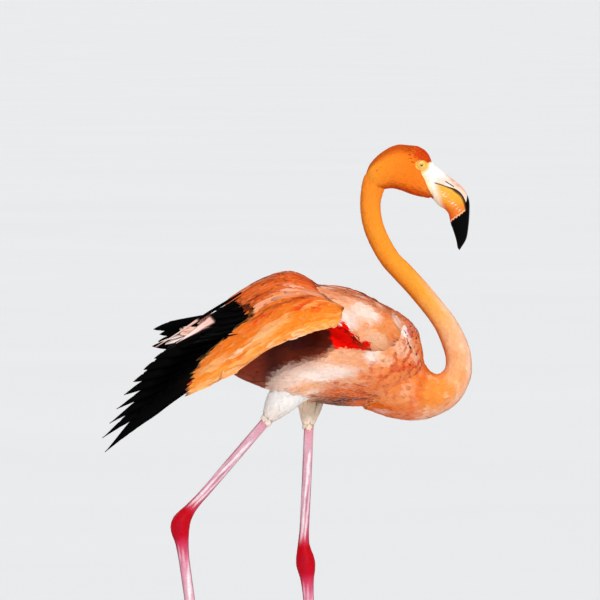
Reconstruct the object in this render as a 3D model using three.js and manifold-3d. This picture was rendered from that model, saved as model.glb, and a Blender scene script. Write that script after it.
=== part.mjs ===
// American flamingo (Phoenicopterus ruber), a grown male at life size. It stands on its left leg, with the
// right leg stretched back on its toe tips and the right wing half open. Millimetres, +X forward, +Y the
// bird's left, +Z up. Every solid reaches to the outside of the feathers.
import * as THREE from "three";
import { mergeVertices } from "three/addons/utils/BufferGeometryUtils.js";
import Module from "manifold-3d";

const wasm = await Module();
wasm.setup();

// Driving dimensions
const GAP = 0.35; // clearance between neighbouring solids
const EYE_RADIUS = 8.5;
const EYE_PLACE = [176, 11.5, 902]; // centre of the left eye, the right one mirrors it
const SMOOTHING = 0.1; // how far a face may lie from the true surface once small faces are merged
const FEATHER = 1.3; // thickness of a flight feather
const TOE_LENGTH = { inner: 70, middle: 86, outer: 78, hind: 15 };
const TOE_SPREAD = 31; // degrees between the middle toe and each side toe
const TOE_RADIUS = 6.6; // half width of a toe at its root
const CLAW_LENGTH = 9;
const WEB = 1.8; // thickness of the web between the toes

// Points of the neck's middle line, from the skull down to the breast
const NECK_LINE = [
  [135, 0, 900], [120, 0, 893], [108, 0, 880], [103, 0, 861], [102, 0, 839], [106, 0, 815],
  [115, 0, 792], [131, 0, 765], [147, 0, 748], [171, 0, 722], [207, 0, 677], [221, 0, 651],
  [229.5, 0, 625], [229, 0, 601], [219, 0, 583], [206, 0, 573.5], [192, 0, 570], [176, 0, 570],
  [152, 0, 579], [123, 0, 597],
];

/** Vector of three coordinates. */
function vec(x, y, z) {
  return new THREE.Vector3(x, y, z);
}

/** Smooth value through [place, value] knots, with no overshoot between them. */
function ramp(...knots) {
  const last = knots.length - 1;
  const slope = (i) => (knots[i + 1][1] - knots[i][1]) / (knots[i + 1][0] - knots[i][0]);
  const tangent = (i) => {
    if (i === 0 || i === last) return slope(Math.min(i, last - 1));
    const [before, after] = [slope(i - 1), slope(i)];
    return before * after > 0 ? (2 * before * after) / (before + after) : 0;
  };
  return (place) => {
    const x = THREE.MathUtils.clamp(place, knots[0][0], knots[last][0]);
    const i = Math.max(0, knots.findIndex((knot) => knot[0] >= x) - 1);
    const width = knots[i + 1][0] - knots[i][0];
    const u = (x - knots[i][0]) / width;
    const [start, end] = [knots[i][1], knots[i + 1][1]];
    const rise = (start - end) * (2 * u ** 3 - 3 * u ** 2) + start;
    return rise + width * ((u ** 3 - 2 * u ** 2 + u) * tangent(i) + (u ** 3 - u ** 2) * tangent(i + 1));
  };
}

/** Curve through points, by running chord length: u from 0 to 1 gives a place on it. */
function path(points) {
  const places = points.map((point) => vec(...point));
  const knots = [0];
  for (let i = 1; i < places.length; i += 1) knots.push(knots[i - 1] + places[i].distanceTo(places[i - 1]));
  const last = places.length - 1;
  const tangent = (i) => {
    const [from, to] = [Math.max(i - 1, 0), Math.min(i + 1, last)];
    return places[to].clone().sub(places[from]).divideScalar(knots[to] - knots[from]);
  };
  const curve = (share) => {
    const x = THREE.MathUtils.clamp(share, 0, 1) * knots[last];
    const i = Math.min(Math.max(0, knots.findIndex((knot) => knot >= x) - 1), last - 1);
    const width = knots[i + 1] - knots[i];
    const u = (x - knots[i]) / width;
    return places[i].clone().multiplyScalar(2 * u ** 3 - 3 * u ** 2 + 1)
      .addScaledVector(places[i + 1], 3 * u ** 2 - 2 * u ** 3)
      .addScaledVector(tangent(i), width * (u ** 3 - 2 * u ** 2 + u))
      .addScaledVector(tangent(i + 1), width * (u ** 3 - u ** 2));
  };
  return Object.assign(curve, { run: knots[last] });
}

/** Even steps from 0 to 1, both ends included. */
function steps(count) {
  return Array.from({ length: count + 1 }, (_, i) => i / count);
}

/** Closed solid of manifold-3d from a three.js geometry. */
function solid(geometry) {
  const bare = geometry.clone();
  bare.deleteAttribute("normal");
  bare.deleteAttribute("uv");
  const merged = mergeVertices(bare, 1e-4);
  const mesh = new wasm.Mesh({
    numProp: 3,
    vertProperties: new Float32Array(merged.attributes.position.array),
    triVerts: new Uint32Array(merged.index.array),
  });
  return new wasm.Manifold(mesh);
}

/** Closed solid from points and triangles, its faces turned outwards. */
function closed(points, triangles) {
  const build = (order) => {
    const geometry = new THREE.BufferGeometry();
    const places = points.flatMap((point) => point.toArray());
    geometry.setAttribute("position", new THREE.Float32BufferAttribute(places, 3));
    geometry.setIndex(order);
    return solid(geometry);
  };
  const whole = build(triangles);
  return whole.volume() < 0 ? build(triangles.slice().reverse()) : whole;
}

/** Triangles of the side faces that join rings of equal count. */
function sideFaces(rows, count) {
  const triangles = [];
  for (let row = 0; row < rows; row += 1) {
    for (let k = 0; k < count; k += 1) {
      const [a, b] = [row * count + k, row * count + ((k + 1) % count)];
      triangles.push(a, b, b + count, a, b + count, a + count);
    }
  }
  return triangles;
}

/** Solid through rings of equal count, each end closed by a fan round its middle. */
function loft(rings) {
  const count = rings[0].length;
  const points = rings.flat();
  const triangles = sideFaces(rings.length - 1, count);
  for (const [row, flip] of [[0, true], [rings.length - 1, false]]) {
    const middle = rings[row].reduce((sum, point) => sum.add(point), vec(0, 0, 0)).divideScalar(count);
    points.push(middle);
    for (let k = 0; k < count; k += 1) {
      const [a, b] = [row * count + k, row * count + ((k + 1) % count)];
      triangles.push(...(flip ? [b, a, points.length - 1] : [a, b, points.length - 1]));
    }
  }
  return closed(points, triangles);
}

/** Solid of round section along a curve: half widths across (towards Y) and half depths in its plane. */
function tube(curve, from, to, count, sides, across, deep, turn = 0) {
  const rings = steps(count).map((share) => {
    const u = from + (to - from) * share;
    const centre = curve(u);
    const along = curve(Math.min(u + 0.004, 1)).sub(curve(Math.max(u - 0.004, 0))).normalize();
    const side = vec(0, 1, 0).addScaledVector(along, -along.y).normalize();
    const normal = along.clone().cross(side);
    return steps(sides).slice(1).map((part) => {
      const angle = 2 * Math.PI * part + turn;
      return centre.clone()
        .addScaledVector(side, across(u) * Math.cos(angle))
        .addScaledVector(normal, deep(u) * Math.sin(angle));
    });
  });
  return loft(rings);
}

/** Plate under a surface(s, t), as thick as depth(s, t), with its edges square. */
function shell(surface, rows, columns, depth) {
  const grid = steps(rows).map((s) => steps(columns).map((t) => surface(s, t)));
  const normalAt = (i, j) => {
    const along = grid[Math.min(i + 1, rows)][j].clone().sub(grid[Math.max(i - 1, 0)][j]);
    const across = grid[i][Math.min(j + 1, columns)].clone().sub(grid[i][Math.max(j - 1, 0)]);
    return along.cross(across).normalize();
  };
  const rings = grid.map((row, i) => {
    const under = row.map((point, j) => {
      return point.clone().addScaledVector(normalAt(i, j), depth(i / rows, j / columns));
    });
    return [...row, ...under.reverse()];
  });
  const count = rings[0].length;
  const triangles = sideFaces(rows, count);
  for (const [row, flip] of [[0, true], [rows, false]]) {
    for (let k = 0; k < columns; k += 1) {
      const [a, b] = [row * count + k, row * count + k + 1];
      const [c, d] = [row * count + count - 2 - k, row * count + count - 1 - k];
      triangles.push(...(flip ? [b, a, d, b, d, c] : [a, b, c, a, c, d]));
    }
  }
  return closed(rings.flat(), triangles);
}

/** Flight feather from root to tip, its vane spread across, bowed sideways in its own plane. */
function blade(root, tip, across, width, bow) {
  const along = tip.clone().sub(root).normalize();
  const up = across.clone().cross(along);
  const half = ramp([0, 0.8 * width], [0.25, width], [0.75, width], [0.93, 0.6 * width], [1, 0.1 * width]);
  const rings = [0, 0.4, 0.76, 0.93, 1].map((u) => {
    const middle = root.clone().lerp(tip, u).addScaledVector(across, bow * Math.sin(Math.PI * u));
    return [[-1, -1], [1, -1], [1, 1], [-1, 1]].map(([edge, side]) => middle.clone()
      .addScaledVector(across, (edge * half(u)) / 2)
      .addScaledVector(up, (side * FEATHER) / 2));
  });
  return loft(rings);
}

// Trunk: upper line, lower line and half width by place along X
const trunkTop = ramp(
  [-147, 664], [-130, 679], [-109, 690], [-87, 700], [-58, 711], [-29, 719], [0, 724], [29, 726],
  [58, 723], [87, 715], [116, 702], [145, 687], [162, 673], [171, 661], [176, 640], [182, 612],
);
const trunkBottom = ramp(
  [-147, 652], [-130, 632], [-109, 609], [-87, 593], [-58, 581], [-29, 571], [0, 563], [29, 557],
  [58, 553], [87, 552], [116, 552], [145, 562], [162, 572], [176, 586], [182, 606],
);
const trunkHalf = ramp(
  [-147, 9], [-130, 24], [-109, 37], [-87, 50], [-58, 64], [-29, 74], [0, 80], [29, 83], [58, 83],
  [87, 80], [116, 74], [145, 62], [162, 49], [171, 38], [178, 24], [182, 6],
);
const TRUNK_PLACES = [
  -147, -130, -109, -84, -57, -29, 0, 29, 58, 87, 116, 136, 151, 162, 171, 178, 182,
];

/** Trunk without the neck's root, everywhere grown by an even amount. */
function trunkForm(grow) {
  const rings = TRUNK_PLACES.map((place, row) => {
    const spread = row === 0 ? -grow : row === TRUNK_PLACES.length - 1 ? grow : 0;
    const [top, bottom] = [trunkTop(place) + grow, trunkBottom(place) - grow];
    return steps(18).slice(1).map((part) => {
      const angle = 2 * Math.PI * part;
      const y = (trunkHalf(place) + grow) * Math.cos(angle);
      const z = (top + bottom) / 2 + ((top - bottom) / 2) * Math.sin(angle);
      return vec(place + spread, y, z);
    });
  });
  return loft(rings);
}

// Neck
const neckCurve = path(NECK_LINE);
const neckDeep = ramp(
  [0, 22], [0.03, 19], [0.065, 16], [0.1, 15], [0.14, 14.4], [0.33, 14.4], [0.38, 15], [0.52, 15.1],
  [0.57, 16], [0.65, 17.8], [0.7, 18.5], [0.75, 20.5], [0.8, 26], [0.85, 34], [0.89, 42], [0.94, 50],
  [1, 57],
);
const neckCuts = [0.085, 0.22, 0.38, 0.54, 0.69, 0.835];

/** Stretch of the neck between two places on its curve, grown by an even amount. */
function neckStretch(from, to, count, grow = 0) {
  const deep = (u) => neckDeep(u) + grow;
  const across = (u) => neckDeep(u) * (0.9 + 0.1 * Math.max(0, (u - 0.8) / 0.2)) + grow;
  return tube(neckCurve, from, to, count, 12, across, deep);
}

/** Lengths of the neck from the skull down, a gap apart. */
function neckLengths() {
  const share = GAP / 2 / neckCurve.run;
  return neckCuts.slice(1).map((end, i) => neckStretch(neckCuts[i] + share, end - share, 7));
}

/** Trunk and the neck's root in one, which every neighbour is cut back from. */
function bodyForm(grow) {
  const share = GAP / 2 / neckCurve.run;
  const root = neckStretch(neckCuts.at(-1) + share - (grow / neckCurve.run), 1, 6, grow);
  return trunkForm(grow).add(root);
}

// Head: upper line, lower line and half width by place along X
const skullTop = ramp(
  [95, 888], [101, 902], [110, 913], [122, 922.5], [133, 928.5], [145, 931.5], [157, 930.5],
  [168, 929.5], [180, 924], [187, 916], [191, 907],
);
const skullBottom = ramp(
  [95, 880], [101, 868.5], [110, 865.6], [133, 868], [145, 865.5], [157, 861], [168, 857.5], [191, 853],
);
const skullHalf = ramp(
  [95, 4], [101, 13], [110, 18], [122, 21], [140, 22], [157, 20], [172, 17.6], [191, 13.5],
);
const SKULL_PLACES = [95, 98, 103, 110, 120, 133, 146, 157, 168, 179, 191 - GAP];

/** Skull with the top of the neck, open where each eye sits. */
function headForm() {
  const rings = SKULL_PLACES.map((place) => steps(14).slice(1).map((part) => {
    const angle = 2 * Math.PI * part;
    const [top, bottom] = [skullTop(place), skullBottom(place)];
    const z = (top + bottom) / 2 + ((top - bottom) / 2) * Math.sin(angle);
    return vec(place, skullHalf(place) * Math.cos(angle), z);
  }));
  const share = GAP / 2 / neckCurve.run;
  const nape = neckStretch(0.01, neckCuts[0] - share, 5);
  const below = neckStretch(neckCuts[0] - share, neckCuts[1], 7, GAP);
  const sockets = eyeBall(1, GAP).add(eyeBall(-1, GAP));
  return loft(rings).subtract(below).add(nape).subtract(sockets);
}

/** Eye of one side, 1 for the left and -1 for the right, grown by an even amount. */
function eyeBall(side, grow = 0) {
  const ball = new THREE.SphereGeometry(EYE_RADIUS + grow, 10, 8);
  ball.rotateX(Math.PI / 2);
  ball.translate(EYE_PLACE[0], side * EYE_PLACE[1], EYE_PLACE[2]);
  return solid(ball);
}

// Bill: ridge, mouth line and lower edge in the bill's own middle plane, from its base to its tip
const BILL_RIDGE = [
  [191, 905.5], [204.5, 894.5], [219, 883], [230.5, 874], [239, 865], [245, 851], [245.8, 834],
  [244.3, 813], [241, 794.5], [231.3, 778.2],
];
const BILL_MOUTH = [
  [191, 877], [204.5, 873.5], [216, 869], [226, 864.5], [234, 857], [239.3, 845], [241.8, 831],
  [241.2, 812], [238.2, 794.5], [230.4, 779.2],
];
const BILL_EDGE = [
  [191, 854.5], [201, 843], [209.5, 838], [215, 831.5], [217, 823.5], [218.7, 816], [221, 810],
  [223.7, 802], [226.6, 792], [228.5, 781.6],
];
const UPPER_HALF = [13.3, 12.4, 11.4, 10.7, 10, 9.2, 8.1, 6.7, 4.9, 1.4];
const LOWER_HALF = [13.3, 13.2, 12.9, 12.4, 11.6, 10.6, 9.3, 7.6, 5.2, 1.4];

/** One half of the bill: flat along the mouth line and round over the other line. */
function billHalf(flat, round, halves) {
  const rings = flat.map(([x, z], i) => {
    const [riseX, riseZ] = [round[i][0] - x, round[i][1] - z];
    return steps(9).map((part) => {
      const angle = Math.PI * part;
      const rise = Math.sin(angle) ** 0.8;
      return vec(x + riseX * rise, halves[i] * Math.cos(angle), z + riseZ * rise);
    });
  });
  return loft(rings);
}

/** Mouth line moved away from the ridge by the gap between the two halves of the bill. */
function lowerMouth() {
  return BILL_MOUTH.map(([x, z], i) => {
    const [awayX, awayZ] = [x - BILL_RIDGE[i][0], z - BILL_RIDGE[i][1]];
    const reach = Math.hypot(awayX, awayZ);
    return [x + (awayX / reach) * GAP, z + (awayZ / reach) * GAP];
  });
}

// Legs: each a curve from the cuff of the thigh to the toe joint
const LEGS = {
  right: {
    thigh: path([[28, -40, 642], [2, -50, 604], [-22, -48, 570], [-36, -45, 551], [-46, -44, 537]]),
    thighHalf: ramp([0, 38], [0.4, 37], [0.66, 26], [0.86, 17.5], [0.97, 11], [1, 9]),
    line: path([
      [-46, -44, 536], [-99, -44, 474], [-138, -44, 428.5], [-162, -44, 401], [-173, -44, 382],
      [-171, -44, 358], [-163, -44, 298], [-146, -44, 180], [-128, -44, 58],
    ]),
    joint: [-128, -44, 58],
    heading: -4,
    outward: -1,
  },
  left: {
    thigh: path([[30, 44, 640], [21, 42, 600], [16, 36, 562], [13.5, 33, 541], [12, 32, 524.5]]),
    thighHalf: ramp([0, 36], [0.35, 32], [0.6, 21], [0.8, 16.5], [0.93, 11.5], [1, 8.2]),
    line: path([
      [13, 32, 523.5], [9.5, 27, 438], [6.2, 22, 370], [5.5, 20.5, 348], [8, 19, 325], [10, 17.5, 306],
      [17.5, 12, 190], [29, 6, 10],
    ]),
    joint: [29, 6, 10],
    heading: 4,
    outward: 1,
  },
};
// Half depth of the bare leg by the length run from the cuff
const legDeep = ramp(
  [0, 6.9], [150, 6.8], [170, 8], [183, 10.5], [193, 13], [202, 13.9], [212, 12.6], [224, 10],
  [237, 8.6], [255, 7.7], [470, 7.2], [500, 8.2], [530, 9],
);
const HOCK = [168, 232]; // where the hock starts and ends, by length from the cuff
const ANKLE = 9; // how far above the toe joint the tarsus ends

/** Stretch of the bare leg between two lengths from the cuff. */
function legStretch(leg, from, to, count, sides, grow = 0) {
  const deep = (u) => legDeep(u * leg.line.run) + grow;
  const across = (u) => legDeep(u * leg.line.run) * 0.84 + grow;
  const [start, end] = [from / leg.line.run, to / leg.line.run];
  return tube(leg.line, start, end, count, sides, across, deep, Math.PI / sides);
}

/** Feathered thigh down to its cuff, cut back from the trunk. */
function thighForm(leg, body) {
  const deep = (u) => leg.thighHalf(u);
  const across = (u) => leg.thighHalf(u) * 0.88;
  return tube(leg.thigh, 0, 1 - GAP / 2 / leg.thigh.run, 9, 14, across, deep).subtract(body);
}

const TOE_ANGLES = { inner: -TOE_SPREAD, middle: 0, outer: TOE_SPREAD, hind: 180 };
const TOE_SIDES = 8;
const SOLE = Math.cos(Math.PI / TOE_SIDES); // share of the half depth at which an eight-sided toe is flat
const SOLE_TRIM = 0.3; // how much of the sole the floor takes off, which leaves one level flat
const TOE_STEPS = 8;
const toeDeep = ramp([0, 1], [0.5, 0.86], [0.85, 0.74], [1, 0.5]);
const toeFall = ramp([0, 0], [0.76, 0.9], [0.86, 1], [1, 1]); // share of the joint's height lost along a toe
const HIND_TOE_FALL = 9;

/** Height of a front toe's middle line over the floor, by share of its length. */
function toeHeight(leg, share) {
  const rest = TOE_RADIUS * toeDeep(share) * SOLE - SOLE_TRIM;
  const start = Math.max(leg.joint[2] - 2, rest);
  return leg.joint[2] > 12 ? start + (rest - start) * toeFall(share) : rest;
}

/** Height of the short hind toe, which hangs clear of the floor. */
function hindHeight(leg, share) {
  return Math.max(leg.joint[2] - HIND_TOE_FALL * share, TOE_RADIUS);
}

/** Middle line of a toe: down from the toe joint, then flat on the floor, its length kept. */
function toeLine(leg, name) {
  const height = name === "hind" ? hindHeight : toeHeight;
  const turn = THREE.MathUtils.degToRad(leg.heading + TOE_ANGLES[name] * leg.outward);
  const step = TOE_LENGTH[name] / TOE_STEPS;
  const points = [];
  let reach = 0;
  let before = height(leg, 0);
  for (const share of steps(TOE_STEPS)) {
    const fall = height(leg, share) - before;
    if (share > 0) reach += Math.sqrt(Math.max(step ** 2 - fall ** 2, (step * 0.3) ** 2));
    before += fall;
    points.push([leg.joint[0] + reach * Math.cos(turn), leg.joint[1] + reach * Math.sin(turn), before]);
  }
  return path(points);
}

/** Toe of flat sole along its middle line. */
function toeForm(leg, name) {
  const deep = (u) => TOE_RADIUS * toeDeep(u) * (name === "hind" ? 0.6 : 1);
  const across = (u) => deep(u) * 1.1;
  const count = name === "hind" ? 3 : 6;
  return tube(toeLine(leg, name), 0, 1, count, TOE_SIDES, across, deep, Math.PI / TOE_SIDES);
}

/** Web between two toes, its front edge hollow. */
function webForm(leg, first, second) {
  const [one, two] = [toeLine(leg, first), toeLine(leg, second)];
  const surface = (s, t) => {
    const reach = 0.06 + s * (0.84 - 0.3 * Math.sin(Math.PI * t) - 0.06);
    return one(reach).lerp(two(reach), t).add(vec(0, 0, WEB / 2));
  };
  return shell(surface, 4, 3, () => WEB);
}

/** Foot of one leg: pad, toes and webs, hollowed for the end of the tarsus. */
function footForm(leg) {
  const pad = new THREE.SphereGeometry(1, 8, 6);
  pad.rotateX(Math.PI / 2);
  pad.scale(10, 9, 9.6);
  pad.translate(...leg.joint);
  const toes = Object.keys(TOE_LENGTH).map((name) => toeForm(leg, name));
  const webs = [webForm(leg, "inner", "middle"), webForm(leg, "middle", "outer")];
  const tarsus = legStretch(leg, leg.line.run - 60, leg.line.run - ANKLE + GAP, 2, 8, GAP);
  return wasm.Manifold.union([solid(pad), ...toes, ...webs]).subtract(tarsus).trimByPlane([0, 0, 1], 0);
}

/** Claw that carries a toe's line on, down to a blunt point just over the floor. */
function clawForm(leg, name) {
  const line = toeLine(leg, name);
  const tip = line(1);
  const along = tip.clone().sub(line(0.97)).normalize();
  const width = TOE_RADIUS * toeDeep(1) * (name === "hind" ? 0.5 : 0.85);
  const size = name === "hind" ? 0.6 : 1; // the hind claw is shorter
  const root = tip.clone().addScaledVector(along, 2 * GAP);
  const end = tip.clone().addScaledVector(along, CLAW_LENGTH * size);
  end.z = Math.max(tip.z - 2, 0.9);
  const middle = root.clone().lerp(end, 0.55).add(vec(0, 0, 0.5));
  const half = ramp([0, width], [0.55, width * 0.75], [1, 0.45]);
  const curve = path([root.toArray(), middle.toArray(), end.toArray()]);
  return tube(curve, 0, 1, 3, 6, half, half);
}

// Half-open right wing: guide lines from front to back over its upper face, from the back's middle outwards
const RIGHT_GUIDES = [
  [[104, -52, 695], [45, -30, 720], [0, -28, 722], [-36, -26, 718], [-75, -24, 706], [-112, -22, 694]],
  [[88, -104, 696], [51, -98, 716], [14, -96, 739], [-17, -94, 750], [-61, -90, 736], [-107, -84, 706]],
  [[65, -178, 701], [61, -181, 703], [17, -178, 709], [-32, -168, 696], [-81, -156, 669], [-133, -150, 633]],
  [[57, -202, 690], [54, -205, 683], [14, -210, 673], [-41, -210, 650], [-99, -203, 612], [-160, -195, 581]],
];
// How far back the coverts reach, by place across the wing: they leave the inner flight feathers bare
const rightReach = ramp([0, 0.97], [0.36, 1], [0.47, 0.8], [0.6, 0.84], [0.8, 0.97], [1, 1]);
const rightDepth = ramp([0, 6], [0.12, 12], [0.35, 8], [0.75, 4], [1, 3.2]);

// Folded left wing, close along the trunk
const LEFT_GUIDES = [
  [[130, 22, 696], [65, 16, 724], [0, 14, 726], [-65, 14, 712], [-126, 13, 686]],
  [[136, 60, 681], [65, 66, 706], [-3, 64, 708], [-70, 54, 695], [-138, 38, 676]],
  [[146, 73, 648], [72, 95, 655], [-3, 93, 654], [-75, 78, 652], [-142, 46, 655]],
  [[138, 72, 622], [72, 89, 610], [-3, 86, 611], [-75, 70, 622], [-145, 40, 641]],
];

/** Surface over guide lines: s runs along them from front to back, t across them. */
function wingSurface(guides, reach = () => 1) {
  const lines = guides.map((guide) => path(guide));
  return (s, t) => path(lines.map((line) => line(s * reach(t)).toArray()))(t);
}

const rightSurface = wingSurface(RIGHT_GUIDES, rightReach);
const leftSurface = wingSurface(LEFT_GUIDES);

/** Upper arm of the half-open wing, from inside the shoulder to under the coverts. */
function armForm() {
  const line = path([[128, -26, 646], [94, -66, 670], [54, -96, 694], [8, -98, 718], [-22, -95, 736]]);
  const half = ramp([0, 36], [0.28, 38], [0.5, 29], [0.75, 18], [1, 8]);
  return tube(line, 0, 1, 6, 12, half, half);
}

/** Coverts of the half-open wing with its upper arm, cut back from the trunk. */
function rightCovertForm(body) {
  const plate = shell(rightSurface, 11, 8, (s, t) => rightDepth(s) * (1 - 0.25 * t));
  return plate.add(armForm()).subtract(body);
}

/** Fan of flight feathers between the curves of their roots and of their tips, each tilted over the next. */
function fanForm({ roots, tips, count, width, tilt = 4, bow = 0 }) {
  const [rootLine, tipLine] = [path(roots), path(tips)];
  const feathers = steps(count - 1).map((share) => {
    const [root, tip] = [rootLine(share), tipLine(share)];
    const [before, after] = [Math.max(share - 0.1, 0), Math.min(share + 0.1, 1)];
    const across = rootLine(after).sub(rootLine(before)).add(tipLine(after)).sub(tipLine(before));
    const along = tip.clone().sub(root).normalize();
    across.addScaledVector(along, -across.dot(along)).normalize();
    across.applyAxisAngle(along, THREE.MathUtils.degToRad(tilt));
    return blade(root, tip, across, width, bow);
  });
  return wasm.Manifold.union(feathers);
}

/** What is left of a form a gap away from its neighbour, without loose crumbs. */
function clear(form, neighbour) {
  const shifts = [[GAP, 0, 0], [-GAP, 0, 0], [0, GAP, 0], [0, -GAP, 0], [0, 0, GAP], [0, 0, -GAP]];
  const cut = shifts.reduce((rest, shift) => rest.subtract(neighbour.translate(shift)), form);
  return cut.decompose().sort((one, two) => two.volume() - one.volume())[0];
}

const RIGHT_PRIMARIES = {
  roots: [[-142, -191, 606], [-112, -180, 624], [-92, -166, 646], [-70, -152, 668]],
  tips: [
    [-279, -198, 495], [-285, -196, 502], [-284, -193, 512], [-268, -187, 545], [-251, -180, 578],
    [-227, -172, 609], [-209, -163, 628], [-193, -153, 641],
  ],
  count: 9,
  width: 26,
  bow: 7,
};
const RIGHT_SECONDARIES = {
  roots: [[-66, -150, 672], [-62, -128, 688], [-72, -106, 706]],
  tips: [[-190, -148, 644], [-162, -128, 662], [-138, -108, 682], [-126, -94, 698]],
  count: 5,
  width: 31,
};
const LEFT_PRIMARIES = {
  roots: [[-110, 42, 680], [-116, 46, 660], [-118, 46, 648]],
  tips: [[-213, 38, 662], [-204, 40, 654], [-206, 43, 645], [-215, 46, 637]],
  count: 4,
  width: 17,
};
const TAIL = {
  roots: [[-118, 10, 668], [-116, 0, 670], [-118, -10, 668]],
  tips: [[-186, 26, 638], [-200, 12, 644], [-204, 0, 646], [-200, -12, 644], [-186, -26, 638]],
  count: 6,
  width: 16,
};

/** Folded wing without its long flight feathers, lying on the trunk. */
function leftCovertForm(body) {
  return shell(leftSurface, 10, 7, () => 26).subtract(body);
}

/** Colour and sheen of one sub-part. */
function paint(color, roughness) {
  return new THREE.MeshStandardMaterial({ color, roughness, metalness: 0 });
}

const PAINTS = {
  head: paint("#f07a22", 0.85),
  neck: paint("#fba437", 0.85),
  trunk: paint("#f8bd92", 0.85),
  thigh: paint("#fdf1e4", 0.85),
  covert: paint("#fca14a", 0.8),
  remex: paint("#0d0a0b", 0.6),
  tail: paint("#f4c3b0", 0.8),
  leg: paint("#eec5cf", 0.55),
  hock: paint("#df1230", 0.5),
  foot: paint("#e3a3ae", 0.55),
  claw: paint("#3a2c2b", 0.4),
  billPale: paint("#f6ece0", 0.35),
  billOrange: paint("#f08b2e", 0.35),
  eye: paint("#f6c84c", 0.15),
};

const bird = new THREE.Group();

/** Adds one solid to the bird as a named mesh. */
function place(name, form, material) {
  const whole = form.simplify(SMOOTHING);
  const { vertProperties, triVerts } = whole.getMesh();
  const geometry = new THREE.BufferGeometry();
  geometry.setAttribute("position", new THREE.BufferAttribute(new Float32Array(vertProperties), 3));
  geometry.setIndex(new THREE.BufferAttribute(new Uint32Array(triVerts), 1));
  geometry.computeVertexNormals();
  const part = new THREE.Mesh(geometry, material);
  part.name = name;
  bird.add(part);
  return whole;
}

const grownBody = bodyForm(GAP);
place("head", headForm(), PAINTS.head);
place("bill_upper", billHalf(BILL_MOUTH, BILL_RIDGE, UPPER_HALF), PAINTS.billPale);
place("bill_lower", billHalf(lowerMouth(), BILL_EDGE, LOWER_HALF), PAINTS.billOrange);
place("eye_left", eyeBall(1), PAINTS.eye);
place("eye_right", eyeBall(-1), PAINTS.eye);
neckLengths().forEach((length, i) => place(`neck_${i + 1}`, length, PAINTS.neck));
place("trunk", bodyForm(0), PAINTS.trunk);

for (const [side, leg] of Object.entries(LEGS)) {
  place(`thigh_${side}`, thighForm(leg, grownBody), PAINTS.thigh);
  const [top, bottom] = HOCK;
  place(`shank_${side}`, legStretch(leg, 2 * GAP, top - GAP / 2, 4, 10), PAINTS.leg);
  place(`hock_${side}`, legStretch(leg, top + GAP / 2, bottom - GAP / 2, 8, 10), PAINTS.hock);
  place(`tarsus_${side}`, legStretch(leg, bottom + GAP / 2, leg.line.run - ANKLE, 5, 8), PAINTS.leg);
  place(`foot_${side}`, footForm(leg), PAINTS.foot);
  for (const name of Object.keys(TOE_LENGTH)) {
    place(`claw_${side}_${name}`, clawForm(leg, name), PAINTS.claw);
  }
}

const rightCoverts = place("wing_right_coverts", rightCovertForm(grownBody), PAINTS.covert);
const rightPrimaries = clear(fanForm(RIGHT_PRIMARIES), rightCoverts);
place("wing_right_primaries", rightPrimaries, PAINTS.remex);
const rightSecondaries = clear(clear(fanForm(RIGHT_SECONDARIES), rightCoverts), rightPrimaries);
place("wing_right_secondaries", rightSecondaries, PAINTS.remex);
const leftCoverts = place("wing_left_coverts", leftCovertForm(grownBody), PAINTS.covert);
place("wing_left_primaries", clear(fanForm(LEFT_PRIMARIES), leftCoverts), PAINTS.remex);
place("tail", clear(fanForm(TAIL), grownBody), PAINTS.tail);

const box = new THREE.Box3().setFromObject(bird);
bird.position.set(-(box.min.x + box.max.x) / 2, -(box.min.y + box.max.y) / 2, -box.min.z);

export default bird;
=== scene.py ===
"""American flamingo, still model: its skin, plumage, bill, eyes, claws and a studio stage.

Shapes are worked out in the bird's own millimetres (+X forward, +Y its left, +Z up, floor at 0), as surfaces
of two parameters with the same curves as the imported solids. put_mesh() moves them into the frame, in metres.
"""
from functools import partial

import bpy
import numpy as np
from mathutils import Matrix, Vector


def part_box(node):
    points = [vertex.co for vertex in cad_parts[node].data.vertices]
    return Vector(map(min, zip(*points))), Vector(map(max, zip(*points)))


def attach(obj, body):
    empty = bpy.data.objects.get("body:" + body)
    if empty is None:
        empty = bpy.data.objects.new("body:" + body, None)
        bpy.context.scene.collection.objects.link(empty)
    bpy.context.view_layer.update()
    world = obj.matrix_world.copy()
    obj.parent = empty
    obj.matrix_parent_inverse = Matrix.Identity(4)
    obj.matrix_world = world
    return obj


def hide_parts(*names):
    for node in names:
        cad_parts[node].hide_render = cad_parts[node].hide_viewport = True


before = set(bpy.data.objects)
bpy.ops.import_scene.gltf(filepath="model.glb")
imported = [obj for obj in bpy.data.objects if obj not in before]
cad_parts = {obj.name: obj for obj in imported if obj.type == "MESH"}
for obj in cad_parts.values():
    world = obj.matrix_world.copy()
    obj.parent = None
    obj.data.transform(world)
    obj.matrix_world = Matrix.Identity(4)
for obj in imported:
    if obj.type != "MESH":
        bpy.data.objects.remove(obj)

bl_info = {
    "name": "Flamingo Still Model",
    "version": (1, 0, 0),
    "blender": (4, 5, 0),
    "location": "3D View > Sidebar > Flamingo",
    "description": "Skin, plumage, bill, eyes, claws and stage of a life-size flamingo",
    "category": "Object",
}

MM = 0.001
EYE_PLACE = np.array([176.0, 11.5, 902.0])  # centre of the left eye in the bird's own millimetres
EYE_RADIUS = 8.5
# From the bird's own origin to the frame's, in mm
SHIFT = np.mean(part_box("eye_left"), axis=0) / MM - EYE_PLACE


def linear(code):
    """Linear colour of a hexadecimal sRGB code; a colour that is linear already stays as it is."""
    if not isinstance(code, str):
        return tuple(code)
    value = np.array([int(code[i:i + 2], 16) for i in (0, 2, 4)]) / 255
    return tuple(np.where(value <= 0.04045, value / 12.92, ((value + 0.055) / 1.055) ** 2.4))


# ---- what a user may change

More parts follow.
